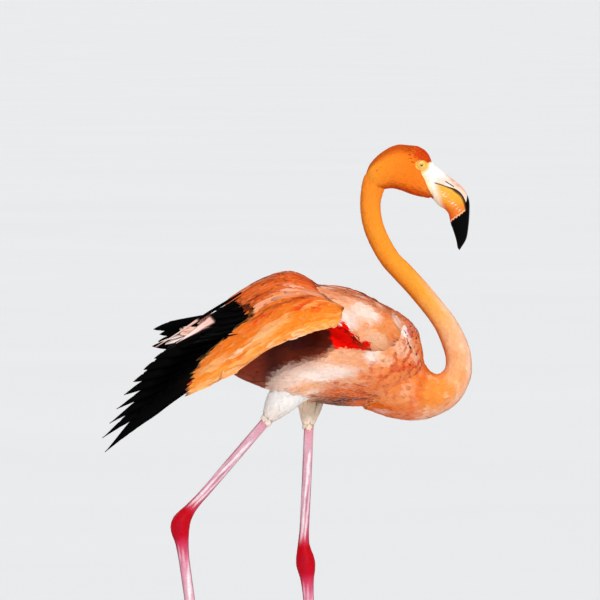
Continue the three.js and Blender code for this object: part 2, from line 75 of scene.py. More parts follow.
def colour_value(name, description, code):
    """Colour property, its default a hexadecimal sRGB code."""
    return bpy.props.FloatVectorProperty(
        name=name, description=description, subtype="COLOR", min=0.0, max=1.0,
        default=tuple(map(float, linear(code))))


def length_value(name, description, default, low, high):
    """Length property, its default and its limits in millimetres."""
    return bpy.props.FloatProperty(
        name=name, description=description, unit="LENGTH", default=default * MM, min=low * MM, max=high * MM)


def share_value(name, description, default, high=1.0):
    """Share or factor property."""
    return bpy.props.FloatProperty(
        name=name, description=description, subtype="FACTOR", default=default, min=0.0, max=high)


class PlumageSettings(bpy.types.PropertyGroup):
    """Length and main colours of the feathers."""

    length: share_value("Feather length", "Length of the feathers against the living bird's", 1.0, 1.5)
    head: colour_value("Head", "Orange of the cheeks", "ff8a24")
    neck: colour_value("Neck", "Orange of the neck's middle", "fda334")
    flank: colour_value("Flank", "Peach of the flanks", "fab88c")
    breast: colour_value("Breast", "Orange of the breast", "f48a44")
    wing: colour_value("Wing", "Orange of the wing's outer coverts", "f2781a")
    armpit: colour_value("Armpit", "Red at the root of the half-open wing", "ff0c02")
    # Hollow is painted shade: its maroon stands in for the half-open wing's shadow on the flank
    hollow: colour_value("Hollow", "Maroon of the flank under the half-open wing", "480000")
    thigh: colour_value("Thigh", "White of the right thigh", "fffaf6")
    flight: colour_value("Flight feathers", "Black of the primaries and secondaries", "020202")


class SkinSettings(bpy.types.PropertyGroup):
    """Fineness of the skin's mesh and the colours of the legs."""

    cell: length_value("Mesh size", "Size of the skin's faces under the feathers", 3.4, 1.5, 8.0)
    shank: colour_value("Leg", "Pink of the bare legs", "f3c2d0")
    hock: colour_value("Hock", "Crimson of the ankle joints", "cc0218")


class FaceSettings(bpy.types.PropertyGroup):
    """Eyes, eyelids and bill."""

    pupil: length_value("Pupil", "Radius of the pupil", 1.45, 0.8, 4.0)
    lid_width: length_value("Lid width", "Half width of the eye's opening", 6.5, 4.0, 8.0)
    lid_height: length_value("Lid height", "Half height of the eye's opening", 5.7, 2.0, 8.0)
    iris: colour_value("Iris", "Yellow of the iris", "f9c44c")
    bill_pale: colour_value("Upper bill", "Bone white of the upper bill", "fdf3ea")
    bill_orange: colour_value("Lower bill", "Orange of the lower bill", "fbab3a")
    bill_black: colour_value("Bill tip", "Black of the bill's end", "030303")
    bill_rough: share_value("Bill roughness", "Roughness of the bill's horn", 0.36)


class StageSettings(bpy.types.PropertyGroup):
    """Floor, light and camera."""

    floor: share_value("Floor", "Brightness of the floor", 0.78)
    light: share_value("Light", "Strength of the main light", 1.9, 5.0)
    distance: length_value("Distance", "From the camera to the bird", 15000.0, 3000.0, 50000.0)


GROUPS = {"plumage": PlumageSettings, "skin": SkinSettings, "face": FaceSettings, "stage": StageSettings}


def chosen(group):
    """The scene's own settings of a group."""
    return getattr(bpy.context.scene, f"flamingo_{group}")


# ---- curves

def cubic(u, first, last, leave, arrive):
    """Place at the share u between two places: cubic, leaving and arriving with the given slopes."""
    return (first + (last - first) * (3 * u**2 - 2 * u**3) + leave * (u**3 - 2 * u**2 + u)
            + arrive * (u**3 - u**2))


def ramp(x, *knots):
    """Smooth value through (place, value) knots: cubic pieces, level where the values turn."""
    place, value = np.array(knots, float).T
    chord = np.diff(value) / np.diff(place)
    both = chord[:-1] * chord[1:]
    total = np.where(both > 0, chord[:-1] + chord[1:], 1.0)
    slope = np.concatenate([chord[:1], np.where(both > 0, 2 * both / total, 0.0), chord[-1:]])
    x = np.clip(np.asarray(x, float), place[0], place[-1])
    i = np.clip(np.searchsorted(place, x, side="right") - 1, 0, len(place) - 2)
    width = place[i + 1] - place[i]
    return cubic((x - place[i]) / width, value[i], value[i + 1], width * slope[i], width * slope[i + 1])


def ramp_colour(x, *knots):
    """Colour through (place, hexadecimal code) knots, each channel a ramp."""
    channels = [ramp(x, *[(place, linear(code)[k]) for place, code in knots]) for k in range(3)]
    return np.stack(channels, axis=-1)


def ease(x, low, high):
    """0 below low, 1 above high, between them three times the way's square less twice its cube."""
    t = np.clip((np.asarray(x, float) - low) / (high - low), 0, 1)
    return t * t * (3 - 2 * t)


def fall(x, low, high):
    """1 below low, 0 above high: the reverse of ease."""
    return 1 - ease(x, low, high)


def mix(first, second, share):
    """Blend of two arrays of rows by a share for each row; the second may be a hexadecimal colour."""
    second = np.asarray(linear(second) if isinstance(second, str) else second)
    return first + (second - first) * np.asarray(share)[..., None]


def painted(colour, *coats):
    """Colours with coats laid over them in order, each a colour and its share by row."""
    for second, share in coats:
        colour = mix(colour, second, share)
    return colour


def even_colour(colour, like):
    """The same colour for each item of a list."""
    return np.tile(linear(colour), (len(like), 1))


def coordinates(x, y, z):
    """Points from their three coordinates, broadcast together."""
    return np.stack(np.broadcast_arrays(x, y, z), axis=-1)


def span(vectors):
    """Lengths of vectors."""
    return np.linalg.norm(vectors, axis=-1)


def running(line):
    """Running length along a line of points."""
    return np.append(0, np.cumsum(span(np.diff(line, axis=0))))


def net(rows, columns, low=0.0, high=1.0):
    """Both parameters over a grid: u in even rows from low to high, v once round in columns."""
    return np.meshgrid(np.linspace(low, high, rows), np.arange(columns) / columns, indexing="ij")


class Line:
    """Curve through points by running chord length, each slope the chord between its neighbours.

    It carries on straight past either end."""

    def __init__(self, points):
        self.points = np.array(points, float)
        self.knots = running(self.points)
        self.run = self.knots[-1]
        count = len(self.knots)
        before, after = [0, *range(count - 1)], [*range(1, count), -1]
        reach = self.knots[after] - self.knots[before]
        self.slope = (self.points[after] - self.points[before]) / reach[:, None]

    def at(self, share):
        """Points at shares of the run, of any array shape."""
        share = np.asarray(share, float)[..., None]
        x = np.clip(share, 0, 1) * self.run
        i = np.clip(np.searchsorted(self.knots, x[..., 0], side="right") - 1, 0, len(self.knots) - 2)
        start = self.knots[i][..., None]
        width = self.knots[i + 1][..., None] - start
        place = cubic((x - start) / width, self.points[i], self.points[i + 1],
                      width * self.slope[i], width * self.slope[i + 1])
        past, before = np.maximum(share - 1, 0) * self.run, np.minimum(share, 0) * self.run
        return place + past * self.slope[-1] + before * self.slope[0]


def unit(vectors):
    """Vectors scaled to length one."""
    return vectors / np.maximum(span(vectors), 1e-9)[..., None]


# ---- forms of the bird

NECK = Line([
    (135, 0, 900), (120, 0, 893), (108, 0, 880), (103, 0, 861), (102, 0, 839), (106, 0, 815),
    (115, 0, 792), (131, 0, 765), (147, 0, 748), (171, 0, 722), (207, 0, 677), (221, 0, 651),
    (229.5, 0, 625), (229, 0, 601), (219, 0, 583), (206, 0, 573.5), (192, 0, 570), (176, 0, 570),
    (152, 0, 579), (123, 0, 597),
])
RIGHT_GUIDES = [
    [(104, -52, 695), (45, -30, 720), (0, -28, 722), (-36, -26, 718), (-75, -24, 706), (-112, -22, 694)],
    [(88, -104, 696), (51, -98, 716), (14, -96, 739), (-17, -94, 750), (-61, -90, 736), (-107, -84, 706)],
    [(65, -178, 701), (61, -181, 703), (17, -178, 709), (-32, -168, 696), (-81, -156, 669),
     (-133, -150, 633)],
    [(57, -202, 690), (54, -205, 683), (14, -210, 673), (-41, -210, 650), (-99, -203, 612),
     (-160, -195, 581)],
]
LEFT_GUIDES = [
    [(130, 22, 696), (65, 16, 724), (0, 14, 726), (-65, 14, 712), (-126, 13, 686)],
    [(136, 60, 681), (65, 66, 706), (-3, 64, 708), (-70, 54, 695), (-138, 38, 676)],
    [(146, 73, 648), (72, 95, 655), (-3, 93, 654), (-75, 78, 652), (-142, 46, 655)],
    [(138, 72, 622), (72, 89, 610), (-3, 86, 611), (-75, 70, 622), (-145, 40, 641)],
]
ARM = Line([(128, -26, 646), (94, -66, 670), (54, -96, 694), (8, -98, 718), (-22, -95, 736)])
ARM_HALF = ((0, 36), (0.28, 38), (0.5, 29), (0.75, 18), (1, 8))
LEGS = {
    "right": {
        "thigh": Line([(28, -40, 642), (2, -50, 604), (-22, -48, 570), (-36, -45, 551), (-46, -44, 537)]),
        "half": ((0, 38), (0.4, 37), (0.66, 26), (0.86, 17.5), (0.97, 11), (1, 9)),
        "line": Line([
            (-46, -44, 536), (-99, -44, 474), (-138, -44, 428.5), (-162, -44, 401), (-173, -44, 382),
            (-171, -44, 358), (-163, -44, 298), (-146, -44, 180), (-128, -44, 58),
        ]),
        "joint": (-128, -44, 58), "heading": -4, "outward": -1,
    },
    "left": {
        "thigh": Line([(30, 44, 640), (21, 42, 600), (16, 36, 562), (13.5, 33, 541), (12, 32, 524.5)]),
        "half": ((0, 36), (0.35, 32), (0.6, 21), (0.8, 16.5), (0.93, 11.5), (1, 8.2)),
        "line": Line([
            (13, 32, 523.5), (9.5, 27, 438), (6.2, 22, 370), (5.5, 20.5, 348), (8, 19, 325),
            (10, 17.5, 306), (17.5, 12, 190), (29, 6, 10),
        ]),
        "joint": (29, 6, 10), "heading": 4, "outward": 1,
    },
}
# Half depth of a bare leg by length from its cuff
LEG_DEEP = (
    (0, 6.9), (150, 6.8), (170, 8), (183, 10.5), (193, 13), (202, 13.9), (212, 12.6), (224, 10),
    (237, 8.6), (255, 7.7), (470, 7.2), (500, 8.2), (530, 9),
)
# Toes: length, angle from the middle toe in degrees, radius, and its share along the toe
TOE_LENGTH = {"inner": 70, "middle": 86, "outer": 78, "hind": 15}
TOE_ANGLES = {"inner": -31, "middle": 0, "outer": 31, "hind": 180}
TOE_RADIUS = 6.6
TOE_DEEP = ((0, 1), (0.5, 0.86), (0.85, 0.74), (1, 0.5))


def tube(line, u, v, across, deep):
    """Round section carried along a line: v runs round it, from the side towards Y over the inner normal."""
    centre = line.at(u)
    along = unit(line.at(np.minimum(u + 0.004, 1)) - line.at(np.maximum(u - 0.004, 0)))
    side = unit(np.array([0.0, 1.0, 0.0]) - along * along[..., 1:2])
    normal = np.cross(along, side)
    angle = 2 * np.pi * v
    return centre + side * (across * np.cos(angle))[..., None] + normal * (deep * np.sin(angle))[..., None]


def neck_deep(u):
    """Half depth of the neck by share of its line."""
    return ramp(u, (0, 22), (0.03, 19), (0.065, 16), (0.1, 15), (0.14, 14.4), (0.33, 14.4), (0.38, 15),
                (0.52, 15.1), (0.57, 16), (0.65, 17.8), (0.7, 18.5), (0.75, 20.5), (0.8, 26), (0.85, 34),
                (0.89, 42), (0.94, 50), (1, 57))


def neck_form(u, v, inset=0.0):
    """Neck: a round tube along its bent line, a tenth narrower across but at its root, its throat full."""
    deep = neck_deep(u)
    throat = 5.0 * np.exp(-(((u - 0.075) / 0.035) ** 2)) * np.maximum(np.sin(2 * np.pi * v), 0)
    return tube(NECK, u, v, deep * (0.9 + 0.1 * np.maximum(0, (u - 0.8) / 0.2)) - inset,
                deep + throat - inset)


def section(x, v, top, bottom, half, inset):
    """Ellipse across the X axis between a lower and an upper line."""
    angle = 2 * np.pi * v
    z = (top + bottom) / 2 + ((top - bottom) / 2 - inset) * np.sin(angle)
    return np.stack([x + 0 * angle, (half - inset) * np.cos(angle), z], axis=-1)


# The trunk's front end and length along X
TRUNK_FRONT, TRUNK_RUN = 182, 329


def trunk_lines(x):
    """Upper line, lower line and half width of the trunk by place along X."""
    top = ramp(
        x, (-147, 664), (-130, 679), (-109, 690), (-87, 700), (-58, 711), (-29, 719), (0, 724), (29, 726),
        (58, 723), (87, 715), (116, 702), (145, 687), (162, 673), (171, 661), (176, 640), (182, 612),
    )
    bottom = ramp(
        x, (-147, 652), (-130, 632), (-109, 609), (-87, 593), (-58, 581), (-29, 571), (0, 563), (29, 557),
        (58, 553), (87, 552), (116, 552), (145, 562), (162, 572), (176, 586), (182, 606),
    )
    half = ramp(
        x, (-147, 9), (-130, 24), (-109, 37), (-87, 50), (-58, 64), (-29, 74), (0, 80), (29, 83), (58, 83),
        (87, 80), (116, 74), (145, 62), (162, 49), (171, 38), (178, 24), (182, 6),
    )
    return top, bottom, half


def beside_trunk(x):
    """Whether X lies between the trunk's ends."""
    return (x > TRUNK_FRONT - TRUNK_RUN) & (x < TRUNK_FRONT)


def trunk_form(u, v, inset=0.0):
    """Trunk: ellipses between its upper and lower line, u from the breast (0) back to the tail (1)."""
    x = TRUNK_FRONT - TRUNK_RUN * u
    top, bottom, half = trunk_lines(x)
    room = np.minimum(inset, 0.8 * np.minimum(half, (top - bottom) / 2))
    return section(x, -v, top, bottom, half, room)


def tube_side(line, half, x, z, squash=1.0):
    """How far a round limb reaches sideways at each place of the side view; falls off steeply beside it."""
    share = np.linspace(0, 1, 60)
    centre = line.at(share)
    radius = ramp(share, *half)
    room = radius**2 - (x[..., None] - centre[:, 0]) ** 2 - (z[..., None] - centre[:, 2]) ** 2
    best = room.argmax(axis=-1)
    room = np.take_along_axis(room, best[..., None], -1)[..., 0]
    off = np.sqrt(np.maximum(radius[best] ** 2 - room, 0)) - radius[best]
    reach = np.abs(centre[best, 1]) + squash * np.sqrt(np.maximum(room, 0))
    return np.where(room > 0, reach, np.abs(centre[best, 1]) - 1.5 * off)


def smooth_max(first, second, blend):
    """Greater of two values, rounded off where they are close."""
    share = np.clip(0.5 + 0.5 * (first - second) / blend, 0, 1)
    return second + (first - second) * share + blend * share * (1 - share)


def body_form(u, v):
    """Trunk with its sides swelling smoothly over the half-open wing's arm and over both thighs."""
    x, y, z = np.moveaxis(trunk_form(u, v), -1, 0)
    reach = np.abs(y)
    right, left = (tube_side(leg["thigh"], leg["half"], x, z, 0.88) for leg in LEGS.values())
    swell = np.where(y < 0, smooth_max(tube_side(ARM, ARM_HALF, x, z), right, 8), left)
    weight = ease(np.abs(np.cos(2 * np.pi * v)), 0.1, 0.5)
    grown = reach + (smooth_max(reach, swell, 22) - reach) * weight
    return np.stack([x, np.sign(y) * grown, z], axis=-1)


def skull_lines(x):
    """Upper line, lower line and half width of the skull by place along X."""
    top = ramp(
        x, (95, 888), (101, 902), (110, 913), (122, 922.5), (133, 928.5), (145, 931.5), (157, 930.5),
        (168, 929.5), (180, 924), (187, 916), (191, 907),
    )
    bottom = ramp(x, (95, 880), (101, 868.5), (110, 865.6), (133, 868), (145, 865.5), (157, 861),
                  (168, 857.5), (191, 853))
    half = ramp(x, (95, 4), (101, 13), (110, 18), (122, 21), (140, 22), (157, 20), (172, 17.6), (191, 13.5))
    return top, bottom, half


SKULL_START = 190.6  # the skull's front end along X
SKULL_RUN = 95.6  # length of the skull from the bill's root to the nape
# The skull's top, bottom and half width at its front
SKULL_FRONT = (907, 853, 13.5)


def skull_form(u, v, inset=0.0):
    """Skull: ellipses between its upper and lower line, u from the bill (0) back to the nape (1)."""
    x = SKULL_START - SKULL_RUN * u
    top, bottom, half = skull_lines(x)
    return section(x, -v, top, bottom, half, np.minimum(inset, 0.8 * half))


def thigh_form(leg, u, v, inset=0.0):
    """Thigh: a round taper from inside the trunk down to its cuff."""
    half = np.maximum(ramp(u, *leg["half"]) - inset, 2.5)
    return tube(leg["thigh"], u, v, half * 0.88, half)


def arm_form(u, v, inset=0.0):
    """Upper arm of the half-open wing."""
    half = ramp(u, *ARM_HALF) - inset
    return tube(ARM, u, v, half, half)


def guided(guides, s, t):
    """Surface over guide lines: cubic along each line (s) and across them (t), past the ends as well."""
    s, t = np.broadcast_arrays(np.asarray(s, float), np.asarray(t, float))
    rows = np.stack([Line(guide).at(s) for guide in guides])
    chords = span(np.diff(rows, axis=0))[..., None]
    knots = np.concatenate([0 * chords[:1], np.cumsum(chords, axis=0)])
    x = t[..., None] * knots[-1]
    i = (knots[1:-1] <= x).sum(axis=0)[..., 0]

    def take(array, index):
        return np.take_along_axis(array, index[None, ..., None], 0)[0]

    def slope(index):
        low, high = np.maximum(index - 1, 0), np.minimum(index + 1, len(guides) - 1)
        return (take(rows, high) - take(rows, low)) / (take(knots, high) - take(knots, low))

    width = take(knots, i + 1) - take(knots, i)
    full = (x - take(knots, i)) / width
    u = np.clip(full, 0, 1)
    place = cubic(u, take(rows, i), take(rows, i + 1), width * slope(i), width * slope(i + 1))
    return place + (full - u) * width * slope(np.where(full[..., 0] > 1, i + 1, i))


def right_reach(t):
    """How far back the coverts of the half-open wing reach, by place across it."""
    return ramp(t, (0, 0.97), (0.36, 1), (0.47, 0.8), (0.6, 0.84), (0.8, 0.97), (1, 1))


def cover_reach(t):
    """How far back the dressed coverts reach: a notch bares the inner flight feathers."""
    return ramp(t, (0, 0.97), (0.3, 0.99), (0.36, 0.93), (0.42, 0.86), (0.48, 0.78), (0.55, 0.71),
                (0.62, 0.67), (0.645, 0.74), (0.665, 0.86), (0.69, 0.98), (0.72, 1.04), (0.76, 1.03),
                (0.82, 1.05), (0.86, 1.03), (0.91, 1.02), (0.95, 1.03), (1, 1.0))


def right_wing(s, t):
    """Upper face of the half-open right wing: s from the front edge back, t from mid-back outwards."""
    return guided(RIGHT_GUIDES, s, t)


def right_depth(s):
    """Thickness of the half-open wing from its front edge back."""
    return ramp(s, (0, 6), (0.12, 12), (0.35, 8), (0.75, 4), (1, 3.2))


def left_wing(s, t):
    """Outer face of the folded left wing, s from the shoulder back, t from the back's middle down."""
    return guided(LEFT_GUIDES, s, t)


# ---- meshes

def read(items, key, kind, width=1):
    """Array of one property of a mesh's items."""
    values = np.empty(len(items) * width, kind)
    items.foreach_get(key, values)
    return values


def put_mesh(name, points, faces, materials, colours, maps=None, face_material=None, rim=None):
    """New object from points in the bird's millimetres, with point colours and UV maps given by point.

    faces is a list of index arrays, one for each count of corners. An edge between two points that rim marks
    is sharp, so that the two faces of a thin vane are shaded apart."""
    mesh = bpy.data.meshes.new(name)
    points = ((points.reshape(-1, 3) + SHIFT) * MM).astype(np.float32)
    counts = np.concatenate([np.full(len(group), group.shape[1]) for group in faces])
    corners = np.concatenate([group.ravel() for group in faces]).astype(np.int32)
    mesh.vertices.add(len(points))
    mesh.vertices.foreach_set("co", points.ravel())
    mesh.loops.add(len(corners))
    mesh.loops.foreach_set("vertex_index", corners)
    mesh.polygons.add(len(counts))
    mesh.polygons.foreach_set("loop_start", (np.cumsum(counts) - counts).astype(np.int32))
    mesh.update(calc_edges=True)
    mesh.polygons.foreach_set("use_smooth", np.full(len(counts), True))
    if rim is not None:
        ends = read(mesh.edges, "vertices", np.int32, 2).reshape(-1, 2)
        mesh.edges.foreach_set("use_edge_sharp", rim[ends].all(axis=1))
    if face_material is not None:
        mesh.polygons.foreach_set("material_index", face_material.astype(np.int32))
    for key, colour in colours.items():
        layer = mesh.color_attributes.new(name=key, type="FLOAT_COLOR", domain="POINT")
        rgba = np.append(colour.reshape(-1, 3), np.ones((len(points), 1)), axis=1)
        layer.data.foreach_set("color", rgba.astype(np.float32).ravel())
    for key, place in (maps or {}).items():
        layer = mesh.uv_layers.new(name=key)
        layer.uv.foreach_set("vector", place.reshape(-1, 2)[corners].astype(np.float32).ravel())
    for material in materials:
        mesh.materials.append(material)
    piece = place_object(name, mesh)
    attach(piece, "root")
    return piece


def grid_faces(rows, columns, flip):
    """Quads over a grid of points, closed across the columns."""
    i, j = np.meshgrid(np.arange(rows - 1), np.arange(columns), indexing="ij")
    a, b = i * columns + j, i * columns + (j + 1) % columns
    quads = np.stack([a, b, b + columns, a + columns], axis=-1).reshape(-1, 4)
    return quads[:, ::-1] if flip else quads


def closed_tube(rings, flip=False):
    """Points and faces of a closed form through rings, each end fanned to its middle."""
    rows, columns = rings.shape[:2]
    points = np.concatenate([rings.reshape(-1, 3), rings[:1].mean(axis=1), rings[-1:].mean(axis=1)])
    k = np.arange(columns)
    after, last, middle = (k + 1) % columns, (rows - 1) * columns, np.full(columns, rows * columns)
    caps = np.concatenate([coordinates(after, k, middle), coordinates(last + k, last + after, middle + 1)])
    return points, [grid_faces(rows, columns, flip), caps[:, ::-1] if flip else caps]


def join_forms(forms):
    """One set of points and faces from several."""
    points, groups, base = [], [], 0
    for place, faces in forms:
        points.append(place)
        groups += [group + base for group in faces]
        base += len(place)
    return np.concatenate(points), [np.concatenate([group for group in groups if group.shape[1] == n])
                                    for n in (3, 4)]


# ---- plumage

# Where each region of plumage lies in the unwrap: left, bottom, width and height
CHARTS = {
    "neck": (0.00, 0.00, 0.24, 1.00),
    "trunk": (0.25, 0.00, 0.34, 0.56),
    "right_wing": (0.25, 0.57, 0.34, 0.43),
    "skull": (0.60, 0.00, 0.24, 0.34),
    "left_wing": (0.60, 0.35, 0.24, 0.30),
    "arm": (0.60, 0.66, 0.24, 0.12),
    "thigh_right": (0.85, 0.00, 0.15, 0.30),
    "thigh_left": (0.85, 0.31, 0.15, 0.30),
    "tail": (0.60, 0.79, 0.24, 0.20),
}
MOST_TRIANGLES = 190000  # in one piece of a coat
PATCH = 0.003  # size of one vane in the unwrap


def even_rows(surface, u_span, v_span, along, across, rng, jitter=0.25):
    """Staggered roots over a surface: rows along(u) apart, roots across(u) apart in each, both in mm."""
    u, v = np.linspace(*u_span, 200), np.linspace(*v_span, 96)
    grid = surface(u[:, None], np.linspace(*v_span, 48)[None, :])
    run = np.percentile(span(np.diff(grid, axis=0)), 80, axis=1)
    count = np.append(0, np.cumsum(run / along((u[1:] + u[:-1]) / 2)))
    places = np.interp(np.arange(0.5, count[-1], 1.0), count, u)
    found = []
    for row, place in enumerate(places):
        length = running(surface(np.full(len(v), place), v))
        number = max(int(round(length[-1] / across(place))), 1)
        spots = (np.arange(number) + 0.25 + 0.5 * (row % 2) + rng.uniform(-jitter, jitter, number)) / number
        step = (places[min(row + 1, len(places) - 1)] - places[max(row - 1, 0)]) / 2
        found.append([place + rng.uniform(-jitter, jitter, number) * step,
                      np.interp(spots * length[-1], length, v)])
    return np.concatenate(found, axis=1)


STEP = 2e-3  # of a parameter, for tangents


def frame_on(surface, u, v, sign):
    """Tangents along both parameters and the outward normal of a surface."""
    along = (surface(u + STEP, v) - surface(u - STEP, v)) / (2 * STEP)
    across = (surface(u, v + STEP) - surface(u, v - STEP)) / (2 * STEP)
    return along, across, unit(np.cross(across, along)) * sign


# Each vane's cross sections: shares of its length, and of its greatest width there
VANE_STATIONS = {
    "fine": (np.array([0.42, 0.84]), np.array([0.95, 0.7])),
    "small": (np.array([0.28, 0.6, 0.86]), np.array([0.75, 1.0, 0.62])),
    "broad": (np.array([0.22, 0.45, 0.66, 0.83, 0.95]), np.array([0.7, 0.98, 1.0, 0.72, 0.32])),
    "long": (np.array([0.12, 0.3, 0.52, 0.72, 0.87, 0.96]), np.array([0.5, 0.82, 1.0, 0.94, 0.66, 0.3])),
}


def vane_points(surface, sign, u, v, lie, length, width, depth, lift, bend, thick, cup, stations):
    """Vertices of many vanes at once, in the order root, rings of left, top, right and bottom, tip.

    A vane starts nearly depth under the surface and is up to it halfway along. Its tip stands lift off and
    it curves sideways by bend, both as the square of the way there. It is width across at its widest, and
    its edges hang below its middle by cup times its half width."""
    shares, widths = VANE_STATIONS[stations]
    t = np.concatenate([[0.0], shares, [1.0]])
    along, across, _ = frame_on(surface, u, v, sign)
    size = span(along)
    level = along / size[:, None]
    skew = (across * level).sum(axis=-1)
    step_v = np.sin(lie) / span(across - level * skew[:, None])
    step_u = (np.cos(lie) - step_v * skew) / size
    uu = u[:, None] + (step_u * length)[:, None] * t
    vv = v[:, None] + (step_v * length)[:, None] * t
    normal = frame_on(surface, uu, vv, sign)[2]
    height = -depth[:, None] * fall(t, -0.1, 0.5) + lift[:, None] * t**2
    spine = surface(uu, vv) + normal * height[..., None]
    spine = spine + np.cross(normal, unit(np.gradient(spine, axis=1))) * (bend[:, None] * t**2)[..., None]
    way = unit(np.gradient(spine, axis=1))
    side = unit(np.cross(normal, way))
    up = np.cross(way, side)[:, 1:-1]
    half = (width[:, None] / 2 * widths)[..., None]
    ring = spine[:, 1:-1]
    reach, drop = side[:, 1:-1] * half, up * half * cup
    skin = up * (thick / 2 * (1.15 - shares) ** 0.5)[:, None]
    rings = np.stack([ring + reach - drop, ring + skin, ring - reach - drop, ring - skin], axis=2)
    return np.concatenate([spine[:, :1], rings.reshape(len(u), -1, 3), spine[:, -1:]], axis=1), uu, vv


def vane_faces(stations, count):
    """Faces of many vanes: fans at the root and the tip, quads between."""
    rings = len(VANE_STATIONS[stations][0])
    k = np.arange(4)
    nxt = (k + 1) % 4
    fans = np.concatenate([
        np.stack([np.zeros(4, int), 1 + nxt, 1 + k], axis=-1),
        np.stack([np.full(4, 1 + 4 * rings), 4 * rings - 3 + k, 4 * rings - 3 + nxt], axis=-1),
    ])
    base = 1 + 4 * np.arange(rings - 1)[:, None]
    quads = np.stack([base + k, base + nxt, base + nxt + 4, base + k + 4], axis=-1).reshape(-1, 4)
    size = 4 * rings + 2
    shift = size * np.arange(count)[:, None, None]
    return [(fans[None] + shift).reshape(-1, 3), (quads[None] + shift).reshape(-1, 4)]


def vane_maps(chart, stations, u, v, turn):
    """Vane map (side, share of length) and the patch of each vane in the unwrap; v runs from 0 to turn."""
    shares, _ = VANE_STATIONS[stations]
    side = np.concatenate([[0.5], np.tile([0.0, 0.5, 1.0, 0.5], len(shares)), [0.5]])
    t = np.concatenate([[0.0], np.repeat(shares, 4), [1.0]])
    vane = np.broadcast_to(np.stack([side, t], axis=-1), (len(u), len(t), 2))
    left, bottom, width, height = CHARTS[chart]
    across, up = (np.clip(share, 0.005, 0.995) for share in (np.mod(v, turn) / turn, u))
    root = np.stack([left + across * width, bottom + up * height], axis=-1)
    return {"Vane": vane, "OFBake": root[:, None] + (vane - 0.5) * PATCH}


def grow_coat(name, chart, surface, u, v, tint, material, rng, length, width, depth, lift, stations, stray,
              lie=0.0, thick=0.3, cup=0.04, bend=0.04, vary=0.05, ahead=0.35, sign=1, turn=1.0):
    """Pieces of vanes over a surface, each measure one number or one for each vane.

    tint gives colour and fringe by place, u, v and one die a vane. It is read the share ahead of the way to
    the vane's tip, so that a marking keeps its edge and still breaks up into feathers."""
    count, rings = len(u), len(VANE_STATIONS[stations][0])
    lie = lie + rng.normal(0, stray, count)
    length = length * rng.uniform(0.88, 1.12, count) * chosen("plumage").length
    width = width * rng.uniform(0.85, 1.15, count)
    lift = lift * rng.uniform(0.3, 1.4, count)
    bend = length * rng.normal(0, bend, count)
    points, uu, vv = vane_points(
        surface, sign, u, v, lie, length, width, depth + 0 * u, lift, bend, thick, cup, stations)
    station = np.concatenate([[0], np.repeat(np.arange(1, rings + 1), 4), [rings + 1]])
    spine = np.concatenate([points[:, :1], points[:, 2:-1:4], points[:, -1:]], axis=1)
    spine, uu, vv = (value + ahead * (value[:, -1:] - value) for value in (spine, uu, vv))
    dice = np.repeat(rng.uniform(size=(count, 1)), rings + 2, axis=1)
    maps = vane_maps(chart, stations, u, v, turn)
    side, share = maps["Vane"][0].T
    # painted shade: each vane up to 8% darker towards its root, under its neighbours
    shade = 1 - 0.08 * fall(share, 0.1, 0.7)
    uneven = rng.normal(1.0, vary, (count, 1, 1)).clip(0.75, 1.2)
    colour, fringe = (value.reshape(count, -1, 3)[:, station] * uneven
                      for value in tint(spine.reshape(-1, 3), uu.ravel(), vv.ravel(), dice.ravel()))
    rim = (side != 0.5) | (share == 0) | (share == 1)
    batch = MOST_TRIANGLES // (8 * rings)  # a vane has 8 triangles for each of its rings
    for start in range(0, count, batch):
        part = slice(start, min(start + batch, count))
        number = part.stop - part.start
        put_mesh(name if count <= batch else f"{name}_{start // batch + 1}", points[part],
                 vane_faces(stations, number), [material],
                 {"Tint": colour[part] * shade[:, None], "Fringe": fringe[part]},
                 {key: value[part] for key, value in maps.items()}, rim=np.tile(rim, number))


# ---- markings

def cloud(points, size, seed):
    """Smooth noise of about -1 to 1: sines in six slanted directions, each about a wave every size mm."""
    rng = np.random.default_rng(seed)
    ways = unit(rng.normal(size=(6, 3))) * (2 * np.pi / size) * rng.uniform(0.7, 1.5, (6, 1))
    return np.sin(points @ ways.T + rng.uniform(0, 2 * np.pi, 6)).mean(axis=-1) * 1.6


def spot(points, x, z, long, short, tilt, soft=0.5):
    """1 inside an oval in the side view, 0 outside: tilt turns its long axis up from +X, in degrees."""
    angle = np.radians(tilt)
    dx, dz = points[..., 0] - x, points[..., 2] - z
    along = (dx * np.cos(angle) + dz * np.sin(angle)) / long
    up = (dz * np.cos(angle) - dx * np.sin(angle)) / short
    return fall(np.hypot(along, up), 1 - soft, 1 + soft)


NECK_SHARES = np.linspace(0, 1, 121)
NECK_PLACES = NECK.at(NECK_SHARES)


def neck_share(points):
    """Share of the neck's line nearest to each point."""
    best = np.zeros(len(points), int)
    least = np.full(len(points), np.inf)
    for i, place in enumerate(NECK_PLACES):
        gap = (points[:, 0] - place[0]) ** 2 + (points[:, 2] - place[2]) ** 2
        best = np.where(gap < least, i, best)
        least = np.minimum(gap, least)
    return NECK_SHARES[best]


def in_neck(points, depth, low):
    """Whether points lie depth inside the neck, past the share low of its line."""
    share = neck_share(points)
    return (span(points - NECK.at(share)) < neck_deep(share) - depth) & (share > low)


def blots(points, table, strength):
    """Coats of paint from a table of ovals in the side view."""
    return [(place[5], strength * spot(points, *place[:5])) for place in table]


